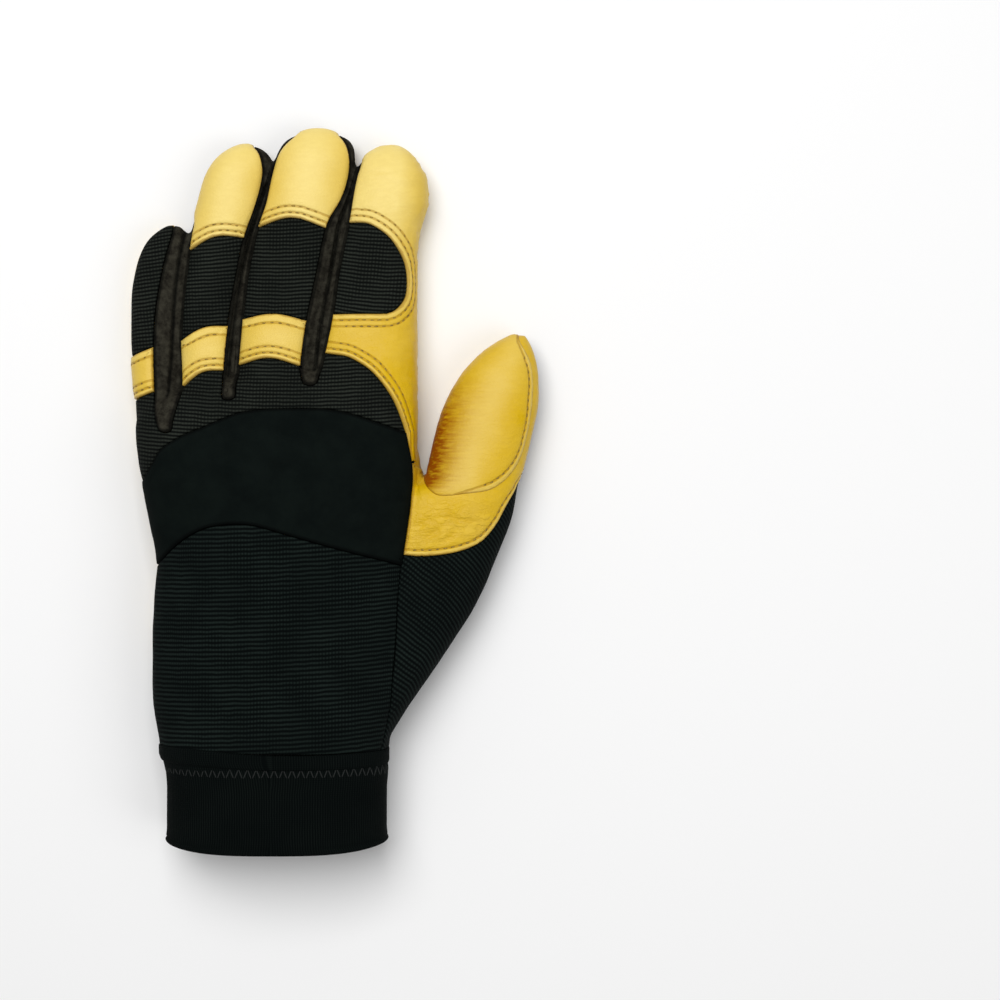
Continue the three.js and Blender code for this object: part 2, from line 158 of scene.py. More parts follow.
PALM_ROWS = sections(
    (-96, -59.4, 19, -1.5, 36), (WRIST_END, -59.8, 19.2, -1.5, 36), (-75, -62.2, 24, -1.5, 35),
    (-40, -62.2, 27, -1.5, 34.5), (-26, -60.6, 27.4, -1.5, 35), (-14, -61.9, 27.6, -1.5, 34.8),
    (-3, -65, 27.9, -1.5, 34), (8, -67.7, 28.2, -1.5, 32), (20, -68.9, 28.2, -1.5, 29),
    (27, -66, 27.5, -1.5, 27), (34, -48, 26.5, -1.5, 24.5), (39, -28, 24, 1, 21),
)
THUMB_ROWS = sections(
    (-96, -34, 19, -1.5, 34), (WRIST_END, -30, 19.2, -1.5, 34), (-82.9, -25, 22.5, -1.5, 33),
    (-62, -10, 36.6, -1.5, 29.5), (-39.3, 2, 50.9, -1.5, 27), (-24, 8, 57.2, -1.5, 26),
    (-9.6, 14, 62.3, -1.5, 25), (-4, 20, 63.2, -1.5, 24.7), (1.5, 31.3, 64.3, -1.5, 24.2),
    (4.2, 32.4, 65, -1.5, 24), (18, 35.5, 68.5, -1.5, 22.5), (30.3, 40, 70.6, -1.5, 21),
    (38, 44.6, 70.4, -1.5, 19.5), (45.3, 51.5, 69, 0, 17), (49.4, 57.4, 67.3, 2, 14.5),
    (51.8, 62, 65.9, 5, 12),
)
WEB_ROWS = sections(
    (-9, 24, 33, 4, 18), (0, 24.5, 31.1, 4, 17), (4.5, 25, 29.8, 4, 16.5), (8, 25, 29.1, 4.5, 16),
    (11, 25, 28.2, 5, 15),
)
LITTLE_ROWS = sections(
    (-10, -58, -46, 3, 24), (20, -69, -51, -1.5, 21), (36, -70.3, -54, -1.5, 18.5),
    (50, -71.6, -53.9, -1.5, 17.5), (64, -71.7, -52.9, -1.5, 16.5), (76, -70, -51.7, -1.5, 15.5),
    (84, -66.8, -51, 1, 14), (88, -63, -52.5, 3, 12.5), (90.5, -59, -55.5, 5.5, 10.5),
)
RING_ROWS = sections(
    (-10, -50, -34, 2, 26), (20, -54, -35, -1.5, 24), (40, -54, -33.7, -1.5, 21),
    (54, -54.3, -33.6, -1.5, 19.5), (85, -51, -28.9, -1.5, 18), (99, -47.6, -25.2, -1.5, 17.5),
    (107, -45.4, -23.9, -1.5, 17), (113, -41.8, -22.6, 0.5, 15.5), (116.4, -37.5, -24.8, 2.5, 13.5),
    (118.3, -33.5, -28.8, 6, 10.5),
)
MIDDLE_ROWS = sections(
    (-10, -32, -12, 2, 28), (20, -34.2, -8, -1.5, 25.5), (40, -34.1, -6.6, -1.5, 22.4),
    (54, -34.1, -5.2, -1.5, 20.5), (70, -31.9, -2.1, -1.5, 19.5), (85, -29.3, 1.6, -1.5, 19),
    (99, -25.4, 4.6, -1.5, 18.5), (108, -22.9, 5.7, -1.5, 17.5), (114.5, -20.8, 6.8, 0, 16.5),
    (119.2, -18.3, 5.6, 1.5, 14.5), (122.2, -13.5, 1, 3.5, 12.5), (123.8, -9, -3.4, 6, 10.5),
)
INDEX_ROWS = sections(
    (-10, -8, 21, 3, 30), (20, -7, 28, -1.5, 27.5), (40, -6.9, 28.3, -1.5, 23.8),
    (50, -6.4, 28.4, -1.5, 22), (64, -4, 28, -1.5, 20.5), (77.5, -0.9, 28, -1.5, 19.5),
    (89.5, 2.4, 29.5, -1.5, 19), (99, 4.5, 32.2, -1.5, 18.5), (106, 6.6, 31.8, -1.5, 17.5),
    (111.5, 8.4, 28.8, 0.5, 16), (115.3, 10.8, 26.2, 2, 14), (118, 15.5, 22.5, 5, 11),
)

# Seams of the back, in plan
LITTLE_SEAM = [
    (-56.7, 88.6), (-57, 86), (-59.4, 75.8), (-61.8, 61.5), (-62.5, 50), (-62.2, 38), (-61.5, 25),
    (-59.6, 18.5),
]
RING_LEFT = [
    (-54.4, 21.5), (-52.6, 29), (-52.1, 34), (-52.6, 42), (-53.1, 50.5), (-52.3, 64), (-51.2, 74),
    (-50.4, 80.4), (-49.6, 86), (-48.8, 90), (-49.5, 93.5), (-52, 97),
]
RING_RIGHT = [
    (-29.4, 120.8), (-28.8, 118.2), (-27.8, 116.6), (-26.4, 114.9), (-25.5, 112), (-25.2, 108.3),
    (-26.3, 101.5), (-28.5, 94), (-31.2, 86), (-33.8, 72.9), (-36.3, 57.8), (-37.4, 46), (-37.8, 39),
    (-38, 35),
]
MIDDLE_LEFT = [
    (-33.2, 33.5), (-32.8, 41.6), (-32, 52), (-31.4, 59.3), (-30, 72.9), (-26.9, 87.5), (-24, 96),
    (-23, 100.2), (-21.9, 106), (-20.5, 111.8), (-18.7, 116), (-16.2, 119), (-13.9, 121.1), (-13, 124),
    (-12.8, 129),
]
MIDDLE_RIGHT = [
    (0.4, 129), (0.6, 124), (1.2, 121.3), (3.2, 119), (4.6, 115.6), (5, 111.5), (4.3, 106), (3.1, 101),
    (1.2, 96.5), (-2.6, 89), (-5.9, 72.9), (-8.9, 58.6), (-10.4, 49), (-11.2, 41), (-11.3, 39),
]
INDEX_LEFT = [
    (-4.3, 39), (-2.9, 45), (-0.2, 58.6), (1.7, 72.9), (4.7, 88), (5.8, 95), (6.8, 101.5), (8, 107.5),
    (9, 110.5), (9.2, 113.5), (7.8, 118),
]
INDEX_WINDOW = [
    (8, 90.3), (12.3, 89.6), (17.8, 86.3), (21.4, 82.4), (24.3, 77.5), (25.4, 72.6), (25.4, 66.9),
    (24.4, 63.3), (21.4, 59.8), (17.8, 58.6), (10.9, 58.5),
]
INDEX_STRAP_HEM = [
    (1.3, 44.2), (5.3, 43.4), (11.3, 40.1), (15, 36.8), (18.7, 32.3), (21.7, 27.4), (23.9, 22),
    (25.4, 17.4),
]
PAD_RIGHT = [
    (25.4, 17.4), (26.5, 11.5), (27.2, 7.5), (27.5, 2.3), (27.3, -2.8), (26.8, -9), (26, -15.3),
    (25.1, -21.5), (24.7, -24.6), (24, -28.2),
]
PAD_TOP = [
    (-74, -2), (-66.4, 0), (-61.2, 6.8), (-58.4, 11.5), (-50.9, 16.2), (-43.9, 19), (-36.9, 22),
    (-30, 24.4), (-18, 25.5), (-4, 25.5), (5, 24.2), (15, 21), (25.4, 17.4),
]
PAD_BOTTOM = [
    (-72, -36), (-61, -28.5), (-57.7, -25.8), (-53.9, -22.3), (-48.9, -18.6), (-42.6, -15.5),
    (-36.4, -14.3), (-30.1, -14), (-23.9, -14.9), (-13.9, -17.8), (-1.9, -21.2), (7.4, -23.7),
    (18.7, -26.6), (24, -28.2),
]
SIDE_SEAM = [(24, -28.2), (23, -38.8), (22.3, -51.7), (21.2, -65.6), (20, -78), (15.6, -97)]
WEB_EDGE = [
    (24.2, -24.6), (30, -25.1), (36.8, -24.7), (42.3, -23.8), (47.2, -22.3), (51.1, -20.3), (54, -17.4),
    (56.8, -13.6), (59.9, -7.6), (62.2, -3.4), (63.8, 0.4), (66.2, 4.6), (71, 9.5), (75, 13),
]
THUMB_TIP_EXIT = [(64.6, 49), (63.6, 56)]
LENS_SEAM = [
    (30.9, 1.3), (31.8, -0.9), (33.8, -3.2), (36.2, -4.5), (39.5, -4.7), (45, -4), (49.4, -3.5),
    (53.8, -2.7), (57.5, -0.6), (60.8, 2.5), (63.5, 6.6), (65.4, 11.3), (66.8, 16.5), (67.9, 22),
    (68.7, 28), (69, 34), (68.6, 39.5), (67.6, 43.4), (66.1, 46.4), (64.5, 49.3),
]
LENS_TURN, LENS_END = 26, 68
WRAP_SEAM = [(26.8, 7.3), (28.6, 6.4), (29.8, 5.3), (31.1, 4.2)]

# Seams of the palm side, in plan
RADIAL_SEAM = [
    (-3, -99), (-1.5, -88), (3, -71), (11.5, -54.6), (21, -43), (35.5, -21), (47.5, 1), (55, 16), (60, 26),
    (63.6, 35), (65.2, 41), (66, 45.4),
]
THUMB_FOLD = [(30.9, 1.3), (30.5, -3), (30, -9), (28.8, -18), (27, -27), (25.2, -37.4)]
GUSSET_EDGE = [(-44, -99), (-47, -89), (-52, -76), (-56.5, -64), (-61, -53), (-68, -44)]

LITTLE_TIP_SLIT = [(-56.9, 87.8), (-56.2, 94)]
CROTCH_SLIT = [(30.9, 0.9), (30.8, 8.5)]
RING_TIP_SLIT = [(-31.2, 115.3), (-31.2, 123)]
MIDDLE_TIP_SLIT = [(-6.2, 120.9), (-6.2, 129)]
ULNAR_LEVEL = [
    (-52, -99), (-52, 10), (-60, 30), (-62, 60), (-61, 78), (-58, 86), (-56.8, 88.2), (-56.2, 94),
    (-80, 94), (-80, -99),
]
WEB_NOTCH = [(24, 7.7), (26.8, 7.4), (28.7, 6.5), (30.2, 5), (31.6, 2.4), (32.6, -1.6), (33, -6), (24, -6)]

RING_TIP_LEVEL = [
    (-46, 91.4), (-44, 101), (-40, 108.5), (-35, 113.6), (-31, 115.4), (-28.2, 115.8), (-28.2, 124),
    (-42, 124), (-52, 112), (-58, 98), (-58, 91.4),
]
MIDDLE_TIP_LEVEL = [(-14.4, 129), (-14.4, 119.5), (-10, 120.1), (-2.2, 120.1), (1.9, 119.5), (1.9, 129)]
THUMB_LEVEL = [(60, -1.5), (60, 20), (60, 40), (62, 46), (63.9, 48), (63.6, 58), (80, 58), (80, -1.5)]

INDEX_TIP_EXIT = INDEX_LEFT[-3:]
LITTLE_TIP_START = [(-62, 78), (-60, 83), (-58, 86.8), (-56.8, 88.2), (-54.8, 87), (-53.4, 84)]


class Tongue(NamedTuple):
    """Where the strip between two fingers ends at their roots."""

    x: float
    palm_x: float
    back: float
    palm: float
    before: tuple[Row, ...]
    after: tuple[Row, ...]
    down: Line
    up: Line


TONGUES = (
    Tongue(-57.0, -53.0, 17.2, 21.0, LITTLE_ROWS, RING_ROWS, LITTLE_SEAM, RING_LEFT),
    Tongue(-35.5, -34.6, 28.6, 26.5, RING_ROWS, MIDDLE_ROWS, RING_RIGHT, MIDDLE_LEFT),
    Tongue(-7.7, -7.5, 33.6, 27.5, MIDDLE_ROWS, INDEX_ROWS, MIDDLE_RIGHT, INDEX_LEFT),
)


# Modelling bench: small steps on Blender's operators


def deselect_all() -> None:
    """Leave edit mode and deselect every object."""
    if bpy.context.object and bpy.context.object.mode != "OBJECT":
        bpy.ops.object.mode_set(mode="OBJECT")
    bpy.ops.object.select_all(action="DESELECT")


def take(thing: Thing) -> Thing:
    """Select one object alone and make it the active one.

    Args:
        thing: The object to work on.

    Returns:
        The same object.
    """
    deselect_all()
    thing.select_set(True)
    bpy.context.view_layer.objects.active = thing
    return thing


@contextmanager
def editing(thing: Thing, mode: str = "VERT") -> Iterator[None]:
    """Work on one object in edit mode with all of it selected.

    Args:
        thing: The object to edit.
        mode: What is selected: VERT, EDGE or FACE.

    Yields:
        Nothing. Edit mode ends with the block.
    """
    take(thing)
    bpy.ops.object.mode_set(mode="EDIT")
    bpy.ops.mesh.select_mode(type=mode)
    bpy.ops.mesh.select_all(action="SELECT")
    yield
    bpy.ops.object.mode_set(mode="OBJECT")


def named(name: str) -> Thing:
    """Name the primitive that has just been added.

    Args:
        name: The object's new name.

    Returns:
        The active object.
    """
    thing = bpy.context.object
    thing.name = name
    thing.data.name = name
    return thing


def new_thing(name: str, points: Sequence[Sequence[float]], edges: list, faces: list) -> Thing:
    """Make an object from points in millimetres.

    Args:
        name: The object's name.
        points: Its vertices.
        edges: Pairs of vertex numbers, for a line without faces.
        faces: Rings of vertex numbers.

    Returns:
        The new object, linked to the scene.
    """
    mesh = bpy.data.meshes.new(name)
    mesh.from_pydata([tuple(c * MM for c in point) for point in points], edges, faces)
    thing = bpy.data.objects.new(name, mesh)
    bpy.context.scene.collection.objects.link(thing)
    return thing


def apply(thing: Thing, kind: str, **settings: object) -> None:
    """Add a modifier, set it and apply it.

    Args:
        thing: The object that takes it.
        kind: The modifier's type.
        settings: Its properties.
    """
    take(thing)
    modifier = thing.modifiers.new(kind.lower(), kind)
    for key, value in settings.items():
        setattr(modifier, key, value)
    bpy.ops.object.modifier_apply(modifier=modifier.name)


def point_outwards(thing: Thing) -> None:
    """Turn every face of a closed mesh outwards."""
    with editing(thing):
        bpy.ops.mesh.normals_make_consistent(inside=False)


def place_in_mesh(thing: Thing) -> None:
    """Move an object's place, turn and scale into its mesh."""
    take(thing)
    bpy.ops.object.transform_apply(location=True, rotation=True, scale=True)


def read(elements: bpy.types.bpy_prop_collection, key: str) -> Array:
    """Vectors of a mesh's elements, one row each.

    Args:
        elements: The mesh's vertices or normals.
        key: What is read of each.

    Returns:
        The rows.
    """
    flat = np.empty(len(elements) * 3)
    elements.foreach_get(key, flat)
    return flat.reshape(-1, 3)


def vertices_of(thing: Thing) -> Array:
    """Vertices of a mesh in millimetres, one row each."""
    return read(thing.data.vertices, "co") / MM


def set_vertices(thing: Thing, points: Array) -> None:
    """Put a mesh's vertices at new places, given in millimetres."""
    thing.data.vertices.foreach_set("co", (points * MM).ravel())
    thing.data.update()


def note(mesh: bpy.types.Mesh, name: str, values: Array) -> None:
    """Keep a number or a vector for each vertex as a mesh attribute."""
    kind, key = ("FLOAT", "value") if values.ndim == 1 else ("FLOAT_VECTOR", "vector")
    mesh.attributes.new(name, kind, "POINT").data.foreach_set(key, values.ravel())


def normals_of(thing: Thing) -> Array:
    """Vertex normals of a mesh, one row each."""
    return read(thing.data.vertex_normals, "vector")


def pick(thing: Thing, kind: str, mask: Sequence[bool]) -> None:
    """Select chosen elements alone while in edit mode.

    Args:
        thing: The object that is edited.
        kind: Which elements the mask is for: vertices or polygons.
        mask: Whether each is selected.
    """
    bpy.ops.mesh.select_all(action="DESELECT")
    bpy.ops.object.mode_set(mode="OBJECT")
    getattr(thing.data, kind).foreach_set("select", mask)
    bpy.ops.object.mode_set(mode="EDIT")


def unit(vectors: Array) -> Array:
    """Rows of vectors at length 1."""
    return vectors / np.linalg.norm(vectors, axis=1)[:, None].clip(1e-9)


def arc_of(line: Array) -> Array:
    """Length along a line at each of its points."""
    return np.r_[0, np.cumsum(np.linalg.norm(np.diff(line, axis=0), axis=1))]


def sampled(at: Array, lengths: Array, line: Array) -> Array:
    """Rows of a line at given lengths along it."""
    return np.stack([np.interp(at, lengths, column) for column in line.T], axis=1)


def bell(distance: Array, width: float) -> Array:
    """Bell curve that is 1 at no distance."""
    return np.exp(-((distance / width) ** 2))


def rested(heights: Array, floor: float | Array, blend: float = 0.3) -> Array:
    """Heights pressed softly onto a floor."""
    return floor + blend * np.logaddexp(0, (heights - floor) / blend)


# Lines in plan


def moved(line: Line, distance: float) -> Line:
    """Move a line sideways.

    Args:
        line: Points in plan.
        distance: How far, to the right of the line's direction.

    Returns:
        The moved line.
    """
    points = np.asarray(line, float)
    places = np.arange(len(points))
    along = unit(points[np.minimum(places + 1, places[-1])] - points[np.maximum(places - 1, 0)])
    right = np.stack([along[:, 1], -along[:, 0]], axis=1)
    return [tuple(point) for point in points + right * distance]


def curved(line: Sequence[Sequence[float]], per_span: int = 4) -> Array:
    """Draw a smooth curve through points.

    Args:
        line: The points, in any number of dimensions.
        per_span: Steps between one point and the next.

    Returns:
        Points on a Catmull-Rom spline, ends included.
    """
    points = np.asarray(line, float)
    padded = np.vstack([2 * points[0] - points[1], points, 2 * points[-1] - points[-2]])
    steps = np.linspace(0, 1, per_span, endpoint=False)[:, None]
    spans = []
    for a, b, c, d in zip(padded, padded[1:], padded[2:], padded[3:]):
        cubic = (3 * b - a - 3 * c + d) * steps**3
        square = (2 * a - 5 * b + 4 * c - d) * steps**2
        spans.append(b + 0.5 * ((c - a) * steps + square + cubic))
    return np.vstack([*spans, points[-1]])


def spaced(line: Array, pitch: float) -> Array:
    """Share points out evenly along a line.

    Args:
        line: Points in any number of dimensions.
        pitch: The distance from one to the next.

    Returns:
        The evenly spaced points.
    """
    lengths = arc_of(line)
    at = np.linspace(0, lengths[-1], max(2, round(lengths[-1] / pitch) + 1))
    return sampled(at, lengths, line)


def smooth_line(line: Sequence[Point], per_span: int = 4) -> Line:
    """Curve through the points of a seam, as plain points."""
    return [tuple(point) for point in curved(line, per_span)]


def edge_at(rows: Sequence[Row], column: str, y: float) -> float:
    """Left or right edge of a limb at a given y."""
    return float(np.interp(y, [row.y for row in rows], [getattr(row, column) for row in rows]))


def side_line(rows: Sequence[Row], column: str, start: float, end: float, inset: float) -> Line:
    """Follow one side of a limb in plan.

    Args:
        rows: The limb's sections.
        column: Which side, left or right.
        start: The y that it starts at.
        end: The y that it ends at.
        inset: How far inside the edge it runs.

    Returns:
        The line, from start to end.
    """
    between = [(getattr(row, column), row.y) for row in rows if start < row.y < end]
    line = [(edge_at(rows, column, start), start), *between, (edge_at(rows, column, end), end)]
    return moved(line, inset if column == "left" else -inset)


def finger_line(rows: Sequence[Row], inset: float) -> Line:
    """Outline of a finger above its root, up its left side, over the tip and down its right.

    Args:
        rows: The finger's sections.
        inset: How far inside the edge it runs.

    Returns:
        The line.
    """
    above = [row for row in rows if row.y > ROOT]
    left = [(edge_at(rows, "left", ROOT), ROOT), *((row.left, row.y) for row in above)]
    right = [*((row.right, row.y) for row in reversed(above)), (edge_at(rows, "right", ROOT), ROOT)]
    return moved(left + right, inset)


def round_tongue(tongue: Tongue) -> Line:
    """Go down one finger's seam on the back, round the tongue and up the next finger's seam."""
    turn = [(tongue.x + x, tongue.back + y) for x, y in TONGUE_TURN]
    return smooth_line([*tongue.down, *turn, *tongue.up], 3)


def crotch_line(tongue: Tongue) -> Line:
    """Go down one finger's root on the palm side, round the strip's end and up the next root.

    Args:
        tongue: Where the strip between the fingers ends.

    Returns:
        The line.
    """
    low, high = tongue.palm + 11, ROOT - 1
    down = side_line(tongue.before, "right", low, high, PALM_INSET)[::-1]
    end = smooth_line([(tongue.palm_x + x, tongue.palm + y) for x, y in STRIP_DROP], 3)
    return [*down, *end, *side_line(tongue.after, "left", low, high, PALM_INSET)]


def palm_strip_seam() -> Line:
    """Palm-side seam of the strips between the fingers.

    Returns:
        The line, from the little fingertip to the index one.
    """
    crotches = [crotch_line(tongue) for tongue in TONGUES]
    return [
        *LITTLE_TIP_START,
        *side_line(LITTLE_ROWS, "right", ROOT, 77, PALM_INSET)[::-1],
        *crotches[0],
        *finger_line(RING_ROWS, PALM_INSET),
        *crotches[1],
        *finger_line(MIDDLE_ROWS, PALM_INSET),
        *crotches[2],
        *side_line(INDEX_ROWS, "left", ROOT, 106, PALM_INSET),
        *INDEX_TIP_EXIT,
    ]


def on_seam(line: Line, y: float, beyond: float = 0.0) -> Point:
    """Point of a finger's seam at a given y, or a little beyond it."""
    order = sorted(line, key=lambda point: point[1])
    return float(np.interp(y, [p[1] for p in order], [p[0] for p in order])) + beyond, y


def finger_hem(left_seam: Line, right_seam: Line, left: float, middle: float, right: float) -> Line:
    """Hem across a finger from one side seam to the other, through a y at the left, middle and right."""
    start, end = on_seam(left_seam, left, -SEAM_OVERRUN), on_seam(right_seam, right, SEAM_OVERRUN)
    return smooth_line([start, ((start[0] + end[0]) / 2, middle), end], 6)


class Seam(NamedTuple):
    """A seam's line in plan and the side of the hand that it parts."""

    line: Line
    side: Side


def all_seams() -> dict[str, Seam]:
    """Every seam of the hand by name.

    Returns:
        Each seam by name.
    """
    start, end, strap = (on_seam(INDEX_LEFT, y, -SEAM_OVERRUN) for y in (90.4, 58.5, 44.9))
    ring, middle = (RING_LEFT[:-2], RING_RIGHT[5:]), (MIDDLE_LEFT[:9], MIDDLE_RIGHT[6:])
    back = {
        "strip_little_ring": round_tongue(TONGUES[0]),
        "strip_ring_middle": round_tongue(TONGUES[1]),
        "strip_middle_index": round_tongue(TONGUES[2]),
        "index_window": [start, *smooth_line(INDEX_WINDOW), end],
        "index_strap_hem": [strap, *smooth_line(INDEX_STRAP_HEM)],
        "ring_cap_hem": finger_hem(*ring, 80.9, 85.4, 85.1),
        "ring_strap_top": finger_hem(*ring, 49.4, 53.9, 54.6),
        "ring_strap_hem": finger_hem(*ring, 33, 38.2, 38.9),
        "middle_cap_hem": finger_hem(*middle, 88.9, 91.8, 88.2),
        "middle_strap_top": finger_hem(*middle, 56.9, 58.6, 56.2),
        "middle_strap_hem": finger_hem(*middle, 40.7, 43.1, 40.2),
        "little_strap_top": [(-76, 43.4), (-70, 44.4), (-62.0, 47.4)],
        "little_strap_hem": [(-76, 28.2), (-69, 29.2), (-61.4, 31.9)],
        "pad_top": smooth_line(PAD_TOP),
        "pad_bottom": smooth_line(PAD_BOTTOM),
        "pad_right": smooth_line(PAD_RIGHT),
        "side_seam": smooth_line(SIDE_SEAM),
        "web_edge": smooth_line(WEB_EDGE),
        "lens_turn": smooth_line(LENS_SEAM)[:LENS_TURN + 2],
        "lens_seam": smooth_line(LENS_SEAM)[LENS_TURN:LENS_END + 2],
        "lens_tip": smooth_line(LENS_SEAM)[LENS_END:] + [(63.6, 58)],
        "wrap_seam": WRAP_SEAM,
    }
    palm = {
        "strips_palm": palm_strip_seam(),
        "radial_seam": smooth_line(RADIAL_SEAM) + THUMB_TIP_EXIT,
        "thumb_fold": smooth_line(THUMB_FOLD),
        "gusset_edge": smooth_line(GUSSET_EDGE),
        "ring_tip": RING_TIP_SLIT,
        "middle_tip": MIDDLE_TIP_SLIT,
    }
    seams = {name: Seam(line, Side.BACK) for name, line in back.items()}
    seams.update({name: Seam(line, Side.PALM) for name, line in palm.items()})
    seams["little_tip"] = Seam(LITTLE_TIP_SLIT, Side.BOTH)
    seams["crotch"] = Seam(CROTCH_SLIT, Side.BOTH)
    return seams


# The hand's form


def monotone(xs: Array, ys: Array, at: Array) -> Array:
    """Interpolate without overshoot.

    Args:
        xs: Rising positions.
        ys: One row of values for each position.
        at: Where values are wanted.

    Returns:
        One row of values for each wanted position.
    """
    width = np.diff(xs)[:, None]
    slope = np.diff(ys, axis=0) / width
    product = slope[:-1] * slope[1:]
    inner = np.where(product > 0, 2 * product / np.where(product > 0, slope[:-1] + slope[1:], 1), 0)
    tangent = np.vstack([slope[:1], inner, slope[-1:]])
    span = np.clip(np.searchsorted(xs, at, side="right") - 1, 0, len(xs) - 2)
    h = width[span]
    t = ((at - xs[span])[:, None]) / h
    rise = 3 * t**2 - 2 * t**3
    start = tangent[span] * h * (t**3 - 2 * t**2 + t)
    end = tangent[span + 1] * h * (t**3 - t**2)
    return ys[span] * (1 - rise) + ys[span + 1] * rise + start + end


@dataclass
class Limb:
    """A finger, the thumb or the palm, skinned through upright sections.

    Attributes:
        name: The limb's name.
        rows: Its sections from the wrist side to the tip.
        squareness: Exponent of each section's superellipse, 2 for an ellipse.
        sides: Vertices in a section.
        step: Distance between two sections.
    """

    name: str
    rows: tuple[Row, ...]
    squareness: float = 2.4
    sides: int = 48
    step: float = 2.5

    def stations(self) -> list[Row]:
        """Sections at even steps, worked out from the rows.

        Returns:
            The sections, from the wrist side to the tip.
        """
        table = np.asarray(self.rows, float)
        along = arc_of(table[:, :3])
        at = np.linspace(0, along[-1], round(along[-1] / self.step) + 1)
        return [Row(*values) for values in monotone(along, table, at)]

    def build(self) -> Thing:
        """Model the limb: one squared ring, extruded and fitted section by section.

        Returns:
            The closed limb.
        """
        stations = self.stations()
        deselect_all()
        upright = (math.pi / 2, 0, 0)
        bpy.ops.mesh.primitive_circle_add(vertices=self.sides, radius=MM, fill_type="NGON", rotation=upright)
        limb = named(self.name)
        place_in_mesh(limb)
        ring = vertices_of(limb)
        ring = np.sign(ring) * np.abs(ring.clip(-1, 1)) ** (2 / self.squareness)
        ring[:, 1] = 0
        set_vertices(limb, ring * (stations[0].size / 2) + stations[0].centre)
        with editing(limb, "FACE"):
            for before, after in zip(stations, stations[1:]):
                self.extend(before, after)
            bpy.ops.mesh.select_all(action="SELECT")
            bpy.ops.mesh.normals_make_consistent(inside=False)
        return limb

    @staticmethod
    def extend(before: Row, after: Row) -> None:
        """Extrude the selected end face and fit it to the next section.

        Args:
            before: The section that the face has now.
            after: The section that it is given.
        """
        start, end = before.centre * MM, after.centre * MM
        bpy.ops.mesh.extrude_region_move(TRANSFORM_OT_translate={"value": tuple(end - start)})
        bpy.ops.transform.resize(value=tuple(after.size / before.size), center_override=tuple(end))


@dataclass
class HandForm:
    """The whole hand's outer form, from the limbs joined and softened.

    Attributes:
        limbs: The palm, the thumb and the four fingers.
        grid: Size of the remeshed faces.
        softening: Rounds of smoothing.
        rest_blend: How softly the form turns into the flat that it rests on.
    """

    limbs: tuple[Limb, ...] = (
        Limb("palm", PALM_ROWS, squareness=3.0),
        Limb("thumb", THUMB_ROWS),
        Limb("web", WEB_ROWS, sides=24),
        Limb("little", LITTLE_ROWS),
        Limb("ring", RING_ROWS),
        Limb("middle", MIDDLE_ROWS),
        Limb("index", INDEX_ROWS),
    )
    grid: float = 1.0
    softening: int = 10
    rest_blend: float = 0.5

    def build(self) -> Thing:
        """Join the limbs into one skin and press it flat where it rests.

        Returns:
            The hand's closed skin.
        """
        pieces = [limb.build() for limb in self.limbs]
        deselect_all()
        for piece in pieces:
            piece.select_set(True)
        bpy.context.view_layer.objects.active = pieces[0]
        bpy.ops.object.join()
        form = named("hand_form")
        apply(form, "REMESH", mode="VOXEL", voxel_size=self.grid * MM, adaptivity=0.0)
        apply(form, "SMOOTH", factor=0.5, iterations=self.softening)
        points = vertices_of(form)
        points[:, 2] = rested(points[:, 2], 0.0, self.rest_blend)
        set_vertices(form, points)
        return form


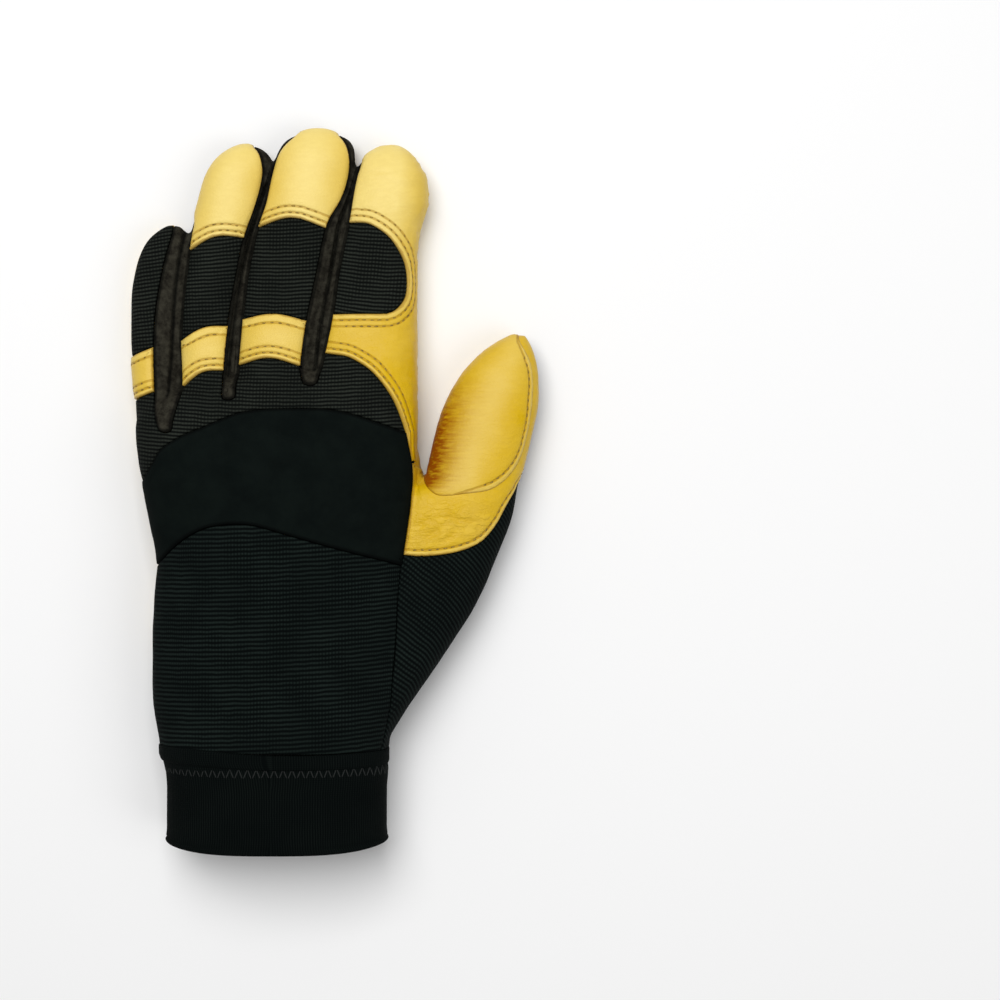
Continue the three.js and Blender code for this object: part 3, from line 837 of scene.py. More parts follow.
@dataclass
class SeamCutter:
    """Cuts the hand's skin along its seams and parts it into panels.

    Attributes:
        seams: Every seam by name.
        width: Width of the strip that is taken out along a seam.
    """

    seams: dict[str, Seam]
    width: float = CUT_WIDTH

    def wall(self, name: str, line: Line, low: float, high: float) -> Thing:
        """Raise a thin upright wall along a line.

        Args:
            name: The wall's name.
            line: The line in plan.
            low: The wall's lower edge.
            high: Its upper edge.

        Returns:
            The closed wall.
        """
        points = [(x, y, low) for x, y in spaced(np.asarray(line, float), 1.5)]
        wall = new_thing(name, points, [(i, i + 1) for i in range(len(points) - 1)], [])
        with editing(wall, "EDGE"):
            bpy.ops.mesh.extrude_region_move(TRANSFORM_OT_translate={"value": (0, 0, (high - low) * MM)})
        apply(wall, "SOLIDIFY", thickness=self.width * MM, offset=0.0)
        point_outwards(wall)
        return wall

    def level(self, name: str, outline: Line) -> Thing:
        """Lay a thin level plate at mid height over an outline in plan.

        Args:
            name: The plate's name.
            outline: Its corners in plan.

        Returns:
            The closed plate.
        """
        half = self.width / 2
        points = [(x, y, MID_HEIGHT - half) for x, y in outline]
        plate = new_thing(name, points, [], [tuple(range(len(points)))])
        with editing(plate, "FACE"):
            bpy.ops.mesh.extrude_region_move(TRANSFORM_OT_translate={"value": (0, 0, self.width * MM)})
        point_outwards(plate)
        return plate

    def cutters(self) -> Iterator[Thing]:
        """Every wall and plate that parts the panels, in turn.

        Yields:
            A closed cutter.
        """
        heights = {
            Side.BACK: (MID_HEIGHT - 0.2, SKY),
            Side.PALM: (BELOW_FLOOR, MID_HEIGHT + 0.2),
            Side.BOTH: (BELOW_FLOOR, SKY),
        }
        for name, seam in self.seams.items():
            yield self.wall("cut_" + name, seam.line, *heights[seam.side])
        for i, tongue in enumerate(TONGUES):
            before, after = (
                (edge_at(rows, "left", ROOT) + edge_at(rows, "right", ROOT)) / 2
                for rows in (tongue.before, tongue.after)
            )
            corners = [(after, ROOT - 1), (after, 8.0), (before, 8.0), (before, ROOT - 1)]
            back = [point for point in round_tongue(tongue) if point[1] < ROOT - 1]
            yield self.level(f"cut_back_crotch_{i}", back + corners)
            yield self.level(f"cut_palm_crotch_{i}", crotch_line(tongue) + corners)
        for i, outline in enumerate((ULNAR_LEVEL, WEB_NOTCH, RING_TIP_LEVEL, MIDDLE_TIP_LEVEL, THUMB_LEVEL)):
            yield self.level(f"cut_level_{i}", outline)
        yield self.wall("cut_wrist", WRIST_LINE, BELOW_FLOOR, SKY)

    def part(self, form: Thing) -> list[Thing]:
        """Cut the skin along every seam.

        Args:
            form: The hand's closed skin.

        Returns:
            The loose patches of skin.
        """
        skin, cut = bpy.data.materials.new("skin"), bpy.data.materials.new("cut")
        form.data.materials.append(skin)
        how = {"operation": "DIFFERENCE", "solver": "MANIFOLD", "material_mode": "TRANSFER"}
        for cutter in self.cutters():
            cutter.data.materials.append(cut)
            apply(form, "BOOLEAN", object=cutter, **how)
            bpy.data.objects.remove(cutter)
        walls = [i for i, slot in enumerate(form.material_slots) if slot.material == cut]
        slots = np.empty(len(form.data.polygons), int)
        form.data.polygons.foreach_get("material_index", slots)
        with editing(form, "FACE"):
            pick(form, "polygons", np.isin(slots, walls))
            bpy.ops.mesh.delete(type="FACE")
            bpy.ops.mesh.select_all(action="SELECT")
            bpy.ops.mesh.separate(type="LOOSE")
        return [thing for thing in bpy.context.selected_objects if thing.type == "MESH"]


# Patches of skin become panels with a wall


class Dip(NamedTuple):
    """A furrow beside a seam, where thread pulls the skin down."""

    seam: str
    inset: float
    depth: float = 0.3


class Crease(NamedTuple):
    """A fold line in plan, and how far it takes to fade in and out."""

    line: Line
    depth: float
    width: float
    fade: float = 4.0


def lattice_noise(points: Array, size: float, seed: int) -> Array:
    """Smooth noise between -1 and 1 from random values on a lattice.

    Args:
        points: Places in millimetres, one row each.
        size: Distance between lattice points.
        seed: Which noise it is.

    Returns:
        One value for each place.
    """
    count = 64
    values = np.random.default_rng(seed).uniform(-1, 1, (count, count, count))
    at = points / size
    cell = np.floor(at).astype(int)
    t = at - cell
    t = t * t * (3 - 2 * t)
    total = np.zeros(len(points))
    for corner in np.ndindex(2, 2, 2):
        weight = np.prod(np.where(corner, t, 1 - t), axis=1)
        i, j, k = ((cell + corner) % count).T
        total += weight * values[i, j, k]
    return total


def distance_to_line(points: Array, line: Array) -> Array:
    """Distance in plan from points to a line of straight spans.

    Args:
        points: Places in plan.
        line: The line's points.

    Returns:
        A distance for each place.
    """
    best = np.full(len(points), np.inf)
    for a, b in zip(line[:-1], line[1:]):
        span = b - a
        share = np.clip((points - a) @ span / max(span @ span, 1e-9), 0, 1)
        best = np.minimum(best, np.linalg.norm(points - a - share[:, None] * span, axis=1))
    return best


def nearest(points: Array, targets: Array) -> tuple[Array, Array]:
    """Distance from each point to the nearest target, and that target's number.

    Args:
        points: Places to measure from.
        targets: Places to measure to.

    Returns:
        The distances and the numbers of the targets.
    """
    tree = KDTree(len(targets))
    for i, target in enumerate(targets):
        tree.insert(target, i)
    tree.balance()
    found = [tree.find(point) for point in points]
    return np.array([hit[2] for hit in found]), np.array([hit[1] for hit in found])


def edge_loops(thing: Thing) -> list[Array]:
    """Open edges of a patch as closed rings of vertex numbers, with the patch on their left.

    Args:
        thing: The patch.

    Returns:
        One array for each ring.
    """
    faces = [list(polygon.vertices) for polygon in thing.data.polygons]
    edges = [edge for face in faces for edge in zip(face, face[1:] + face[:1])]
    count = Counter((min(edge), max(edge)) for edge in edges)
    step: dict[int, list[int]] = {}
    for a, b in edges:
        if count[min(a, b), max(a, b)] == 1:
            step.setdefault(a, []).append(b)
    loops = []
    for start in list(step):
        while step[start]:
            loop = [start]
            at = step[start].pop()
            while at != start and step.get(at):
                loop.append(at)
                at = step[at].pop()
            if len(loop) > 2:
                loops.append(np.array(loop))
    return loops


def blurred_along(values: Array, lengths: Array, reach: float) -> Array:
    """Average values along a closed ring over a given reach.

    Args:
        values: One row for each vertex of the ring.
        lengths: Distance along the ring of each vertex, and the whole length last.
        reach: How far on either side the average reaches.

    Returns:
        The averaged rows.
    """
    total = lengths[-1]
    even = np.linspace(0, total, max(8, round(total / 0.5)), endpoint=False)
    steps = sampled(even, lengths, np.vstack([values, values[:1]]))
    half = min(max(1, round(reach / (total / len(even)))), len(even) // 2)
    kernel = np.hanning(2 * half + 3)[1:-1]
    wrapped = np.vstack([steps[-half:], steps, steps[:half]])
    smooth = np.stack([np.convolve(column, kernel / kernel.sum(), "valid") for column in wrapped.T], axis=1)
    return sampled(lengths[:-1], np.r_[even, total], np.vstack([smooth, smooth[:1]]))


@dataclass
class Rim:
    """The open edge of a patch: its vertices, the way out of the patch and the way up."""

    ring: Array
    points: Array
    out: Array
    up: Array
    seams: list[str]

    @classmethod
    def along(cls, ring: Array, points: Array, normals: Array, namer: Callable[[Array], list[str]]) -> Rim:
        """Work out a rim's directions.

        Args:
            ring: Vertex numbers in order.
            points: The patch's vertices.
            normals: The patch's vertex normals.
            namer: Gives the seam that each rim point lies on.

        Returns:
            The rim.
        """
        at = points[ring]
        lengths = arc_of(np.vstack([at, at[:1]]))
        path = blurred_along(at, lengths, 0.8)
        along = unit(np.roll(path, -1, axis=0) - np.roll(path, 1, axis=0))
        up = blurred_along(normals[ring], lengths, 1.5)
        out = unit(np.cross(blurred_along(along, lengths, 0.8), up))
        return cls(ring, at, out, unit(up), namer(at))


@dataclass
class Panel:
    """One panel of the glove, made from its patch of skin.

    Attributes:
        name: The panel's name, that of the solid that it stands for.
        probe: A point in plan that only this panel covers.
        side: The side of the hand that the point is on.
        slot: The record's material slot.
        lift: How far the panel stands proud of the hand's form.
        wall: Its thickness.
        roll: How far its edge turns down.
        crown: How far its middle swells.
        fine: Width of the band along its edges whose faces are divided, or a large value for all.
        dips: Furrows where thread runs.
        creases: Fold lines.
        ripple: Height of its soft unevenness.
        wrinkle: Height of its fine wrinkles.
        weave: Gives the knit's two coordinates, in millimetres, for each point.
        dye: Gives for each point the share of darker brown, or of painted shade in a strip's groove, then the
            share of painted highlight and the share of wrinkles from use.
        tuck: How far its edge reaches under the next panel.
        bed: Room above the floor for its relief where the glove rests on it.
        under: Seams where its edge runs under its neighbour's.
        tapered: Unsewn seams along which a stitched edge tapers off.
        rims: Its open edges, filled in by build.
    """

    name: str
    probe: Point
    side: Side
    slot: Slot
    lift: float = 0.0
    wall: float = 1.2
    roll: float = 0.5
    crown: float = 0.0
    fine: float = 0.0
    dips: tuple[Dip, ...] = ()
    creases: tuple[Crease, ...] = ()
    ripple: float = 0.2
    wrinkle: float = 0.0
    weave: Callable[[Array], Array] | None = None
    dye: Callable[[Array], Array] | None = None
    tuck: float = 0.12
    bed: float = 0.0
    under: tuple[str, ...] = ()
    tapered: tuple[str, ...] = ()
    rims: list[Rim] = field(default_factory=list, repr=False)

    @property
    def rim_names(self) -> Array:
        """The seam that each point of the rims lies on."""
        return np.array([name for rim in self.rims for name in rim.seams], dtype=object)

    @property
    def rim_points(self) -> Array:
        """Every point of the rims."""
        return np.vstack([rim.points for rim in self.rims])

    def claims(self, patch: Thing) -> bool:
        """Whether a patch of skin is this panel's.

        Args:
            patch: A loose patch of skin.

        Returns:
            True for the patch under the panel's probe.
        """
        points = vertices_of(patch)
        facing = points[:, 2] > MID_HEIGHT if self.side is Side.BACK else points[:, 2] < MID_HEIGHT
        near = np.linalg.norm(points[:, :2] - self.probe, axis=1) < 1.2
        return bool((near & facing).any())

    def build(self, patch: Thing, seams: dict[str, Seam]) -> Thing:
        """Shape a patch of skin and give it a wall.

        Args:
            patch: The patch.
            seams: Every seam by name.

        Returns:
            The finished panel.
        """
        patch.name = patch.data.name = self.name + "_skin"
        self.tidy(patch)
        self.divide(patch)
        base, normals = vertices_of(patch), normals_of(patch)
        rings = edge_loops(patch)
        self.rims = [Rim.along(ring, base, normals, lambda at: self.seam_names(at, seams)) for ring in rings]
        edge, beside, out = self.edge_distance(base)
        hidden = self.hidden_share(base)
        pull = (SEAM_WIDTH / 2 - UNDERLAP * hidden) * bell(edge, PULL_REACH)
        base = base - out * pull[:, None]
        base[:, 2] += np.maximum(-normals[:, 2], 0) * (self.lift + self.bed)
        sunk = UNDER_DEPTH * hidden * bell(edge, UNDER_REACH)
        edge = np.maximum(edge + pull - SEAM_WIDTH / 2, 2.0 * hidden)
        for rim in self.rims:
            rim.points = base[rim.ring]
        height = self.relief(base, edge, beside) - sunk
        top = base + normals * height[:, None]
        top[:, 2] = np.maximum(top[:, 2], 0.0)
        return self.close(patch, base, top, normals, edge)

    def hidden_share(self, points: Array) -> Array:
        """How near each point is to an edge that runs under a neighbour.

        Args:
            points: The patch's vertices.

        Returns:
            A share from 0 to 1 for each.
        """
        covered = np.isin(self.rim_names, self.under)
        if not covered.any():
            return np.zeros(len(points))
        open_away = nearest(points, self.rim_points[~covered])[0]
        return np.clip((open_away - nearest(points, self.rim_points[covered])[0]) / 2.5, 0, 1)

    def tidy(self, patch: Thing) -> None:
        """Merge the slivers that the cut left.

        Args:
            patch: The patch of skin.
        """
        with editing(patch):
            bpy.ops.mesh.remove_doubles(threshold=MERGED * MM)
            bpy.ops.mesh.dissolve_degenerate(threshold=SLIVER * MM)
            bpy.ops.mesh.select_all(action="SELECT")
            bpy.ops.mesh.delete_loose()
            bpy.ops.mesh.select_all(action="SELECT")
            bpy.ops.mesh.fill_holes(sides=HOLE_SIDES)

    def divide(self, patch: Thing) -> None:
        """Divide the faces near the edges and soften the new ones.

        Args:
            patch: The patch of skin.
        """
        if not self.fine:
            return
        points = vertices_of(patch)
        near = nearest(points, points[np.concatenate(edge_loops(patch))])[0] < self.fine
        faces = [near[list(polygon.vertices)].all() for polygon in patch.data.polygons]
        with editing(patch, "FACE"):
            pick(patch, "polygons", faces)
            bpy.ops.mesh.subdivide(number_cuts=1)
        inner = np.ones(len(patch.data.vertices), bool)
        inner[np.concatenate(edge_loops(patch))] = False
        with editing(patch):
            pick(patch, "vertices", inner)
            bpy.ops.mesh.vertices_smooth(factor=0.5, repeat=3)

    def seam_names(self, at: Array, seams: dict[str, Seam]) -> list[str]:
        """Name the seam that each point of the rim lies on.

        Args:
            at: Points of the rim.
            seams: Every seam by name.

        Returns:
            A seam's name for each point, empty where there is none.
        """
        best = np.full(len(at), SEAM_WIDTH)
        names = np.full(len(at), "", dtype=object)
        for name, seam in seams.items():
            facing = np.ones(len(at), bool)
            if seam.side is Side.BACK:
                facing = at[:, 2] > MID_HEIGHT
            elif seam.side is Side.PALM:
                facing = at[:, 2] < MID_HEIGHT
            away = np.where(facing, distance_to_line(at[:, :2], np.asarray(seam.line, float)), np.inf)
            closer = away < best
            names[closer] = name
            best = np.minimum(best, away)
        return list(names)

    def edge_distance(self, points: Array) -> tuple[Array, Array, Array]:
        """Distance of each point to the rim, with the seam and the way out where the rim is nearest."""
        away, place = nearest(points, self.rim_points)
        return away, self.rim_names[place], np.vstack([rim.out for rim in self.rims])[place]

    def thread_distance(self, points: Array) -> Array:
        """How far each point lies past the thread.

        Args:
            points: The patch's vertices.

        Returns:
            For each, the distance past the first of two rows, and past a single row.
        """
        values = np.full((len(points), 3), FAR)
        rim_away, beside, _ = self.edge_distance(points)
        for seam in {dip.seam for dip in self.dips}:
            insets = sorted(dip.inset for dip in self.dips if dip.seam == seam)
            away = nearest(points, self.rim_points[self.rim_names == seam])[0]
            beyond = np.sqrt(np.maximum(away**2 - rim_away**2, 0))
            away = np.where(np.isin(beside, self.tapered), rim_away + TAPER * beyond, away)
            column = 0 if len(insets) > 1 else 1
            values[:, column] = np.minimum(values[:, column], away - insets[0] + SEAM_WIDTH / 2)
        return values

    def relief(self, points: Array, edge: Array, beside: Array) -> Array:
        """How far each point stands out from the hand's form.

        Args:
            points: The patch's vertices.
            edge: Their distance to the rim.
            beside: The seam nearest to each.

        Returns:
            A height for each vertex.
        """
        edge = np.maximum(edge, 0)
        height = self.lift * (1 - 0.35 * np.exp(-((edge / 0.9) ** 1.5)))
        height += self.crown * (1 - bell(edge, CROWN_REACH))
        inside = 1 - bell(edge, CALM_REACH)
        height += self.ripple * inside * lattice_noise(points, *BROAD_RIPPLE)
        height += self.ripple * 0.4 * inside * lattice_noise(points, *SOFT_RIPPLE)
        if self.wrinkle:
            fold = 1 - np.abs(lattice_noise(points * (1, 2.4, 1), *WRINKLES))
            height += self.wrinkle * inside * (fold**4 - 0.3)
        tug = 1 + 0.45 * lattice_noise(points, *TUGS)
        for dip in self.dips:
            furrow = bell(edge - (dip.inset - SEAM_WIDTH / 2), FURROW_WIDTH)
            height -= np.where(beside == dip.seam, dip.depth * tug * furrow, 0)
        facing = (points[:, 2] < MID_HEIGHT) == (self.side is Side.PALM)
        for crease in self.creases:
            line = spaced(curved(crease.line, 5), CREASE_STEP)
            away, place = nearest(points * (1, 1, 0), np.c_[line, 0 * line[:, 0]])
            fold = bell(away, crease.width) - 0.35 * bell(away - 1.9 * crease.width, crease.width)
            faded = np.clip(np.minimum(place, len(line) - 1 - place) * CREASE_STEP / crease.fade, 0, 1)
            height -= crease.depth * fold * facing * faded
        return height

    def close(self, patch: Thing, base: Array, top: Array, normals: Array, edge: Array) -> Thing:
        """Roll the edges down and close the panel with its inner face.

        Args:
            patch: The patch, whose mesh is replaced.
            base: Its vertices on the hand's form.
            top: Its vertices on the panel's outer face.
            normals: Its vertex normals.
            edge: The distance of each vertex to the rim.

        Returns:
            The closed panel.
        """
        inner = base - normals * self.wall
        inner[:, 2] = np.maximum(inner[:, 2], min(self.wall, 1.0))
        count = len(base)
        points = [top, inner]
        edges = [edge, edge]
        source = [np.arange(count), np.arange(count)]
        total = 2 * count
        faces = [tuple(polygon.vertices) for polygon in patch.data.polygons]
        faces += [tuple(count + i for i in reversed(face)) for face in faces]
        drop = self.lift + self.wall * 0.8
        angles = np.radians(ROLL_ANGLES)
        turns = [(math.sin(a) * self.roll, (1 - math.cos(a)) * self.roll * ROLL_DROP) for a in angles]
        turns.append((self.roll + self.tuck, max(drop, self.roll * 1.6)))
        for rim in self.rims:
            size = len(rim.ring)
            rows = [rim.ring]
            for out, down in turns:
                placed = top[rim.ring] + rim.out * out - rim.up * down
                placed[:, 2] = np.maximum(placed[:, 2], LOWEST_RIM)
                points.append(placed)
                edges.append(np.full(size, -out - down))
                source.append(rim.ring)
                rows.append(np.arange(total, total + size))
                total += size
            rows.append(rim.ring + count)
            for a, b in zip(rows, rows[1:]):
                after_a, after_b = np.roll(a, -1), np.roll(b, -1)
                faces += [tuple(quad) for quad in np.stack([after_a, a, b, after_b], axis=1).tolist()]
        mesh = bpy.data.meshes.new(patch.name + "_wall")
        mesh.from_pydata((np.vstack(points) * MM).tolist(), [], faces)
        patch.data = mesh
        note(mesh, "edge", np.concatenate(edges))
        if self.dips:
            note(mesh, "thread", self.thread_distance(base)[np.concatenate(source)])
        if self.weave:
            note(mesh, "weave", np.c_[self.weave(np.vstack(points)), np.zeros(total)])
        if self.dye:
            note(mesh, "dye", self.dye(np.vstack(points)))
        mesh.shade_smooth()
        return patch


# Stitching


@dataclass
class StitchRow:
    """A row of stitches along one seam of a panel.

    Attributes:
        panel: The panel that is sewn.
        seam: The seam that the row follows.
        inset: Distance from the seam.
        pitch: Distance from one stitch to the next.
    """

    panel: str
    seam: str
    inset: float
    pitch: float = 2.6

    def paths(self, panel: Panel) -> Iterator[Array]:
        """Lines that the row follows.

        Args:
            panel: The panel that is sewn.

        Yields:
            Rows of a point and the way up there.
        """
        inset, rim_points = self.inset - SEAM_WIDTH / 2, panel.rim_points
        for rim in panel.rims:
            for run in unbroken(np.array([name == self.seam for name in rim.seams])):
                line = rim.points[run] - rim.out[run] * inset
                path = spaced(np.hstack([line, rim.up[run]]), self.pitch)
                away = [np.linalg.norm(rim_points - at[:3], axis=1).min() for at in path]
                clear = np.array(away) > inset * 0.8 - 0.15
                if clear.sum() > 2:
                    yield path[clear]


def unbroken(on: Array) -> Iterator[Array]:
    """Unbroken runs of true values round a ring.

    Args:
        on: One truth value for each place of the ring.

    Yields:
        Places in the ring, in order.
    """
    if on.all():
        yield np.arange(len(on))
        return
    if not on.any():
        return
    order = np.roll(np.arange(len(on)), -int(np.flatnonzero(~on)[0]))
    run: list[int] = []
    for i in [*order, order[0]]:
        if on[i]:
            run.append(i)
            continue
        if len(run) > 2:
            yield np.array(run)
        run = []


@dataclass
class Stitching:
    """All the stitches of one thread, joined in one mesh.

    Attributes:
        name: The piece's name.
        length: Length of a stitch.
        width: Its width.
        height: Its height.
        sunk: How deep its middle lies in the skin.
        slant: Turn of each stitch out of its row, in degrees, to one side and the other by turns.
    """

    name: str
    length: float = 1.75
    width: float = 0.68
    height: float = 0.45
    sunk: float = 0.05
    slant: float = 0.0

    def model(self) -> tuple[Array, list[tuple[int, ...]]]:
        """Model one stitch: a small arched bead, as vertices and faces.

        Returns:
            The bead's vertices in millimetres and its faces.
        """
        deselect_all()
        bpy.ops.mesh.primitive_uv_sphere_add(segments=8, ring_count=6, radius=MM / 2)
        stitch = named("stitch")
        with editing(stitch):
            bpy.ops.transform.rotate(value=math.pi / 2, orient_axis="Y", center_override=(0, 0, 0))
            bpy.ops.transform.resize(value=(self.length, self.width, self.height), center_override=(0, 0, 0))
        points = vertices_of(stitch)
        points[:, 2] -= 0.12 * (2 * points[:, 0] / self.length) ** 2
        faces = [tuple(polygon.vertices) for polygon in stitch.data.polygons]
        bpy.data.objects.remove(stitch)
        return points, faces

    def build(self, rows: list[tuple[Array, Thing]]) -> Thing:
        """Copy the stitch along every row.

        Args:
            rows: Each row's points with the way up there, and the piece that is sewn.

        Returns:
            The joined stitches.
        """
        shape, ring = self.model()
        points, faces = [], []
        for path, thing in rows:
            for place, frame in self.places(path, thing):
                start = len(points) * len(shape)
                points.append(shape @ frame + place)
                faces += [tuple(start + i for i in face) for face in ring]
        thing = new_thing(self.name, np.vstack(points).tolist(), [], faces)
        thing.data.shade_smooth()
        LOG.info("%s: %d stitches", self.name, len(points))
        return thing

    def places(self, path: Array, thing: Thing) -> Iterator[tuple[Array, Array]]:
        """Each stitch's place and turn along a path.

        Args:
            path: Rows of a point and the way up there.
            thing: The piece that is sewn.

        Yields:
            The place in millimetres, and the stitch's three axes as rows.
        """
        faces = [tuple(polygon.vertices) for polygon in thing.data.polygons]
        tree = BVHTree.FromPolygons(vertices_of(thing).tolist(), faces)
        along = np.gradient(path[:, :3], axis=0)
        for i, (at, way) in enumerate(zip(path, along)):
            hit, normal, _, away = tree.find_nearest(at[:3])
            if hit is None or away > 3.0 or np.array(normal) @ at[3:] < 0.2:
                continue
            normal = np.array(normal)
            ahead = way - normal * (way @ normal)
            ahead /= np.linalg.norm(ahead)
            across = np.cross(normal, ahead)
            turn = math.radians(self.slant if i % 2 else -self.slant)
            ahead = ahead * math.cos(turn) + across * math.sin(turn)
            across = np.cross(normal, ahead)
            yield np.array(hit) - normal * self.sunk, np.stack([ahead, across, normal])


# Cuff and tab


@dataclass(frozen=True)
class CuffSection:
    """The cuff's upright section, a squared oval.

    Attributes:
        left: Its lowest x.
        right: Its highest x.
        low: Its lowest z before it is flattened.
        high: Its highest z.
        squareness: Exponent of the superellipse.
    """

    left: float = -57.1
    right: float = 18.4
    low: float = 0.5
    high: float = 37.4
    squareness: float = 2.4

    @property
    def centre(self) -> Array:
        """Middle of the section, as x and z."""
        return np.array([(self.left + self.right) / 2, (self.low + self.high) / 2])

    def ring(self, proud: float, count: int, start: float = 0.0, end: float = math.tau) -> Array:
        """Points round the section.

        Args:
            proud: How far outside the section they lie.
            count: How many there are.
            start: Angle of the first.
            end: Angle just after the last.

        Returns:
            Rows of x and z.
        """
        angle = np.linspace(start, end, 4001)
        half = np.array([(self.right - self.left) / 2 + proud, (self.high - self.low) / 2 + proud])
        circle = np.stack([np.cos(angle), np.sin(angle)], axis=1)
        line = self.centre + half * np.sign(circle) * np.abs(circle) ** (2 / self.squareness)
        lengths = arc_of(line)
        return sampled(np.linspace(0, lengths[-1], count, endpoint=False), lengths, line)

    def around(self, points: Array) -> Array:
        """Length round the section at which points lie.

        Args:
            points: Rows of x and z.

        Returns:
            A length for each.
        """
        ring = self.ring(0, 720)
        spoke = np.unwrap(np.arctan2(*(ring - self.centre).T[::-1]))
        angle = np.arctan2(*(points - self.centre).T[::-1]) % math.tau
        return np.interp(angle, spoke % math.tau, arc_of(ring))


@dataclass
class Cuff:
    """An elastic tube with a folded hem at each end.

    Attributes:
        section: Its upright section.
        start: The y of its end at the hand.
        end: The y of its open end.
        wall: Its thickness.
        hem: Width of the hem at the hand.
        open_hem: Width of the hem at the open end.
        proud: How far the hems stand out.
        floor: Height of the tab that it lies on.
        sides: Vertices round the tube.
        gather: Height of the soft gathers in the elastic.
        flare: How much wider the tube is at some places along it, as pairs of y and width.
        arch: How far its edge at the hand lies from a straight line, from its left to its right.
        bow: How far the open end's middle reaches past its sides.
        sewn: The y of the thread round it.
        pitch: Distance from one stitch to the next.
    """

    section: CuffSection = field(default_factory=CuffSection)
    start: float = -89.5
    end: float = -124.9
    wall: float = 2.2
    hem: float = 5.6
    open_hem: float = 1.9
    proud: float = 0.5
    floor: float = 2.0
    sides: int = 260
    gather: float = 0.22
    flare: tuple[Point, ...] = (
        (-89, 2.5), (-93, 2.4), (-96, 1.3), (-99, 0.4), (-104, 0), (-120, 0), (-125, 0.5),
    )
    arch: tuple[float, ...] = (0.2, -0.2, -1.1, -1.9, -2.3, -2.4, -2.3, -2.0, -1.6)
    bow: float = 1.9
    sewn: float = -98.2
    pitch: float = 1.5

    def profile(self) -> list[tuple[float, float]]:
        """Steps from the hand's end over the outside to the open end and back inside.

        Returns:
            The y of each and how far proud it is.
        """
        start, end, wall, proud = self.start, self.end, self.wall, self.proud
        hem, lip = start - self.hem, end + self.open_hem
        outside = [
            (start - 0.05, -0.9), (start, -0.3), (start - 0.35, 0.35), (start - 0.9, proud),
            *((start - d, proud) for d in np.arange(1.8, self.hem - 0.8, 0.9)),
            (hem + 0.5, proud), (hem, proud - 0.2), (hem - 0.35, -0.15), (hem - 0.9, 0.0),
            *((y, 0.0) for y in np.arange(hem - 1.8, lip + 1.6, -0.9)),
            (lip + 0.7, 0.0), (lip + 0.2, -0.2), (lip - 0.2, 0.05), (lip - 0.6, 0.2),
            (end + 0.9, 0.2), (end + 0.4, 0.0), (end + 0.1, -0.35), (end, -0.9),
        ]
        inside = [
            (end + 0.25, 0.3 - wall), (end + 1.0, -wall),
            *((y, -wall) for y in np.arange(end + 4, start - 2, 4.0)),
            (start - 0.9, -wall), (start - 0.25, 0.5 - wall),
        ]
        return outside + inside

    def build(self) -> Thing:
        """Model the cuff: one ring, extruded and fitted along its profile, then closed on itself.

        Returns:
            The finished cuff.
        """
        steps = self.profile()
        deselect_all()
        bpy.ops.mesh.primitive_circle_add(vertices=self.sides, radius=MM, fill_type="NOTHING")
        cuff = named("cuff_band_skin")
        first = self.section.ring(steps[0][1], self.sides)
        set_vertices(cuff, np.c_[first[:, 0], np.full(self.sides, steps[0][0]), first[:, 1]])
        x, z = self.section.centre
        half = np.array([self.section.right - self.section.left, self.section.high - self.section.low]) / 2
        with editing(cuff, "EDGE"):
            for (y0, grown0), (y1, grown1) in zip(steps, steps[1:]):
                wider, higher = (half + grown1) / (half + grown0)
                bpy.ops.mesh.extrude_region_move(TRANSFORM_OT_translate={"value": (0, (y1 - y0) * MM, 0)})
                pivot = (x * MM, y1 * MM, z * MM)
                bpy.ops.transform.resize(value=(wider, 1, higher), center_override=pivot)
            bpy.ops.mesh.select_all(action="DESELECT")
            bpy.ops.mesh.select_non_manifold(extend=False)
            bpy.ops.mesh.bridge_edge_loops()
            bpy.ops.mesh.select_all(action="SELECT")
            bpy.ops.mesh.normals_make_consistent(inside=False)
        self.settle(cuff)
        return cuff

    def settle(self, cuff: Thing) -> None:
        """Press the cuff flat on the tab, gather its elastic softly and note its weave.

        Args:
            cuff: The closed tube.
        """
        points = vertices_of(cuff)
        section, hem = self.section, self.start - self.hem
        flat = points[:, [0, 2]]
        around = section.around(flat)
        away = unit(flat - section.centre)
        free = np.clip((points[:, 1] - self.end) / 3, 0, 1) * np.clip((hem - points[:, 1]) / 3, 0, 1)
        waves = lattice_noise(np.c_[around, points[:, 1] * 0.25, around * 0], *GATHERS)
        points[:, [0, 2]] += away * (self.gather * free * waves)[:, None]
        spread = np.interp(points[:, 1], *zip(*sorted(self.flare)))
        points[:, 0] += np.where(flat[:, 0] < section.centre[0], -spread, np.minimum(spread, 0.4))
        spokes = section.ring(-self.wall / 2, 720) - section.centre
        turns = np.arctan2(*spokes.T[::-1]) % math.tau
        angle = np.arctan2(away[:, 1], away[:, 0]) % math.tau
        middle = np.interp(angle, turns, np.linalg.norm(spokes, axis=1), period=math.tau)
        outer = np.linalg.norm(flat - section.centre, axis=1) > middle
        points[:, 2] = rested(points[:, 2], np.where(outer, self.floor, self.floor + self.wall))
        share = np.clip((points[:, 0] - section.left) / (section.right - section.left), 0, 1)
        bowed = np.clip((points[:, 2] - self.floor) / 20, 0, 1)
        arch = np.interp(share, np.linspace(0, 1, 9), self.arch) * bowed
        opening = (0.35 - np.abs(2 * share - 1) ** 3.6) * self.bow * 1.4
        along = (points[:, 1] - self.end) / (self.start - self.end)
        points[:, 1] += arch * np.clip(along, 0, 1) ** 2 - opening * np.clip(1 - along, 0, 1) ** 2
        set_vertices(cuff, points)
        note(cuff.data, "weave", np.c_[points[:, 1], around, np.zeros(len(points))])
        cuff.data.shade_smooth()

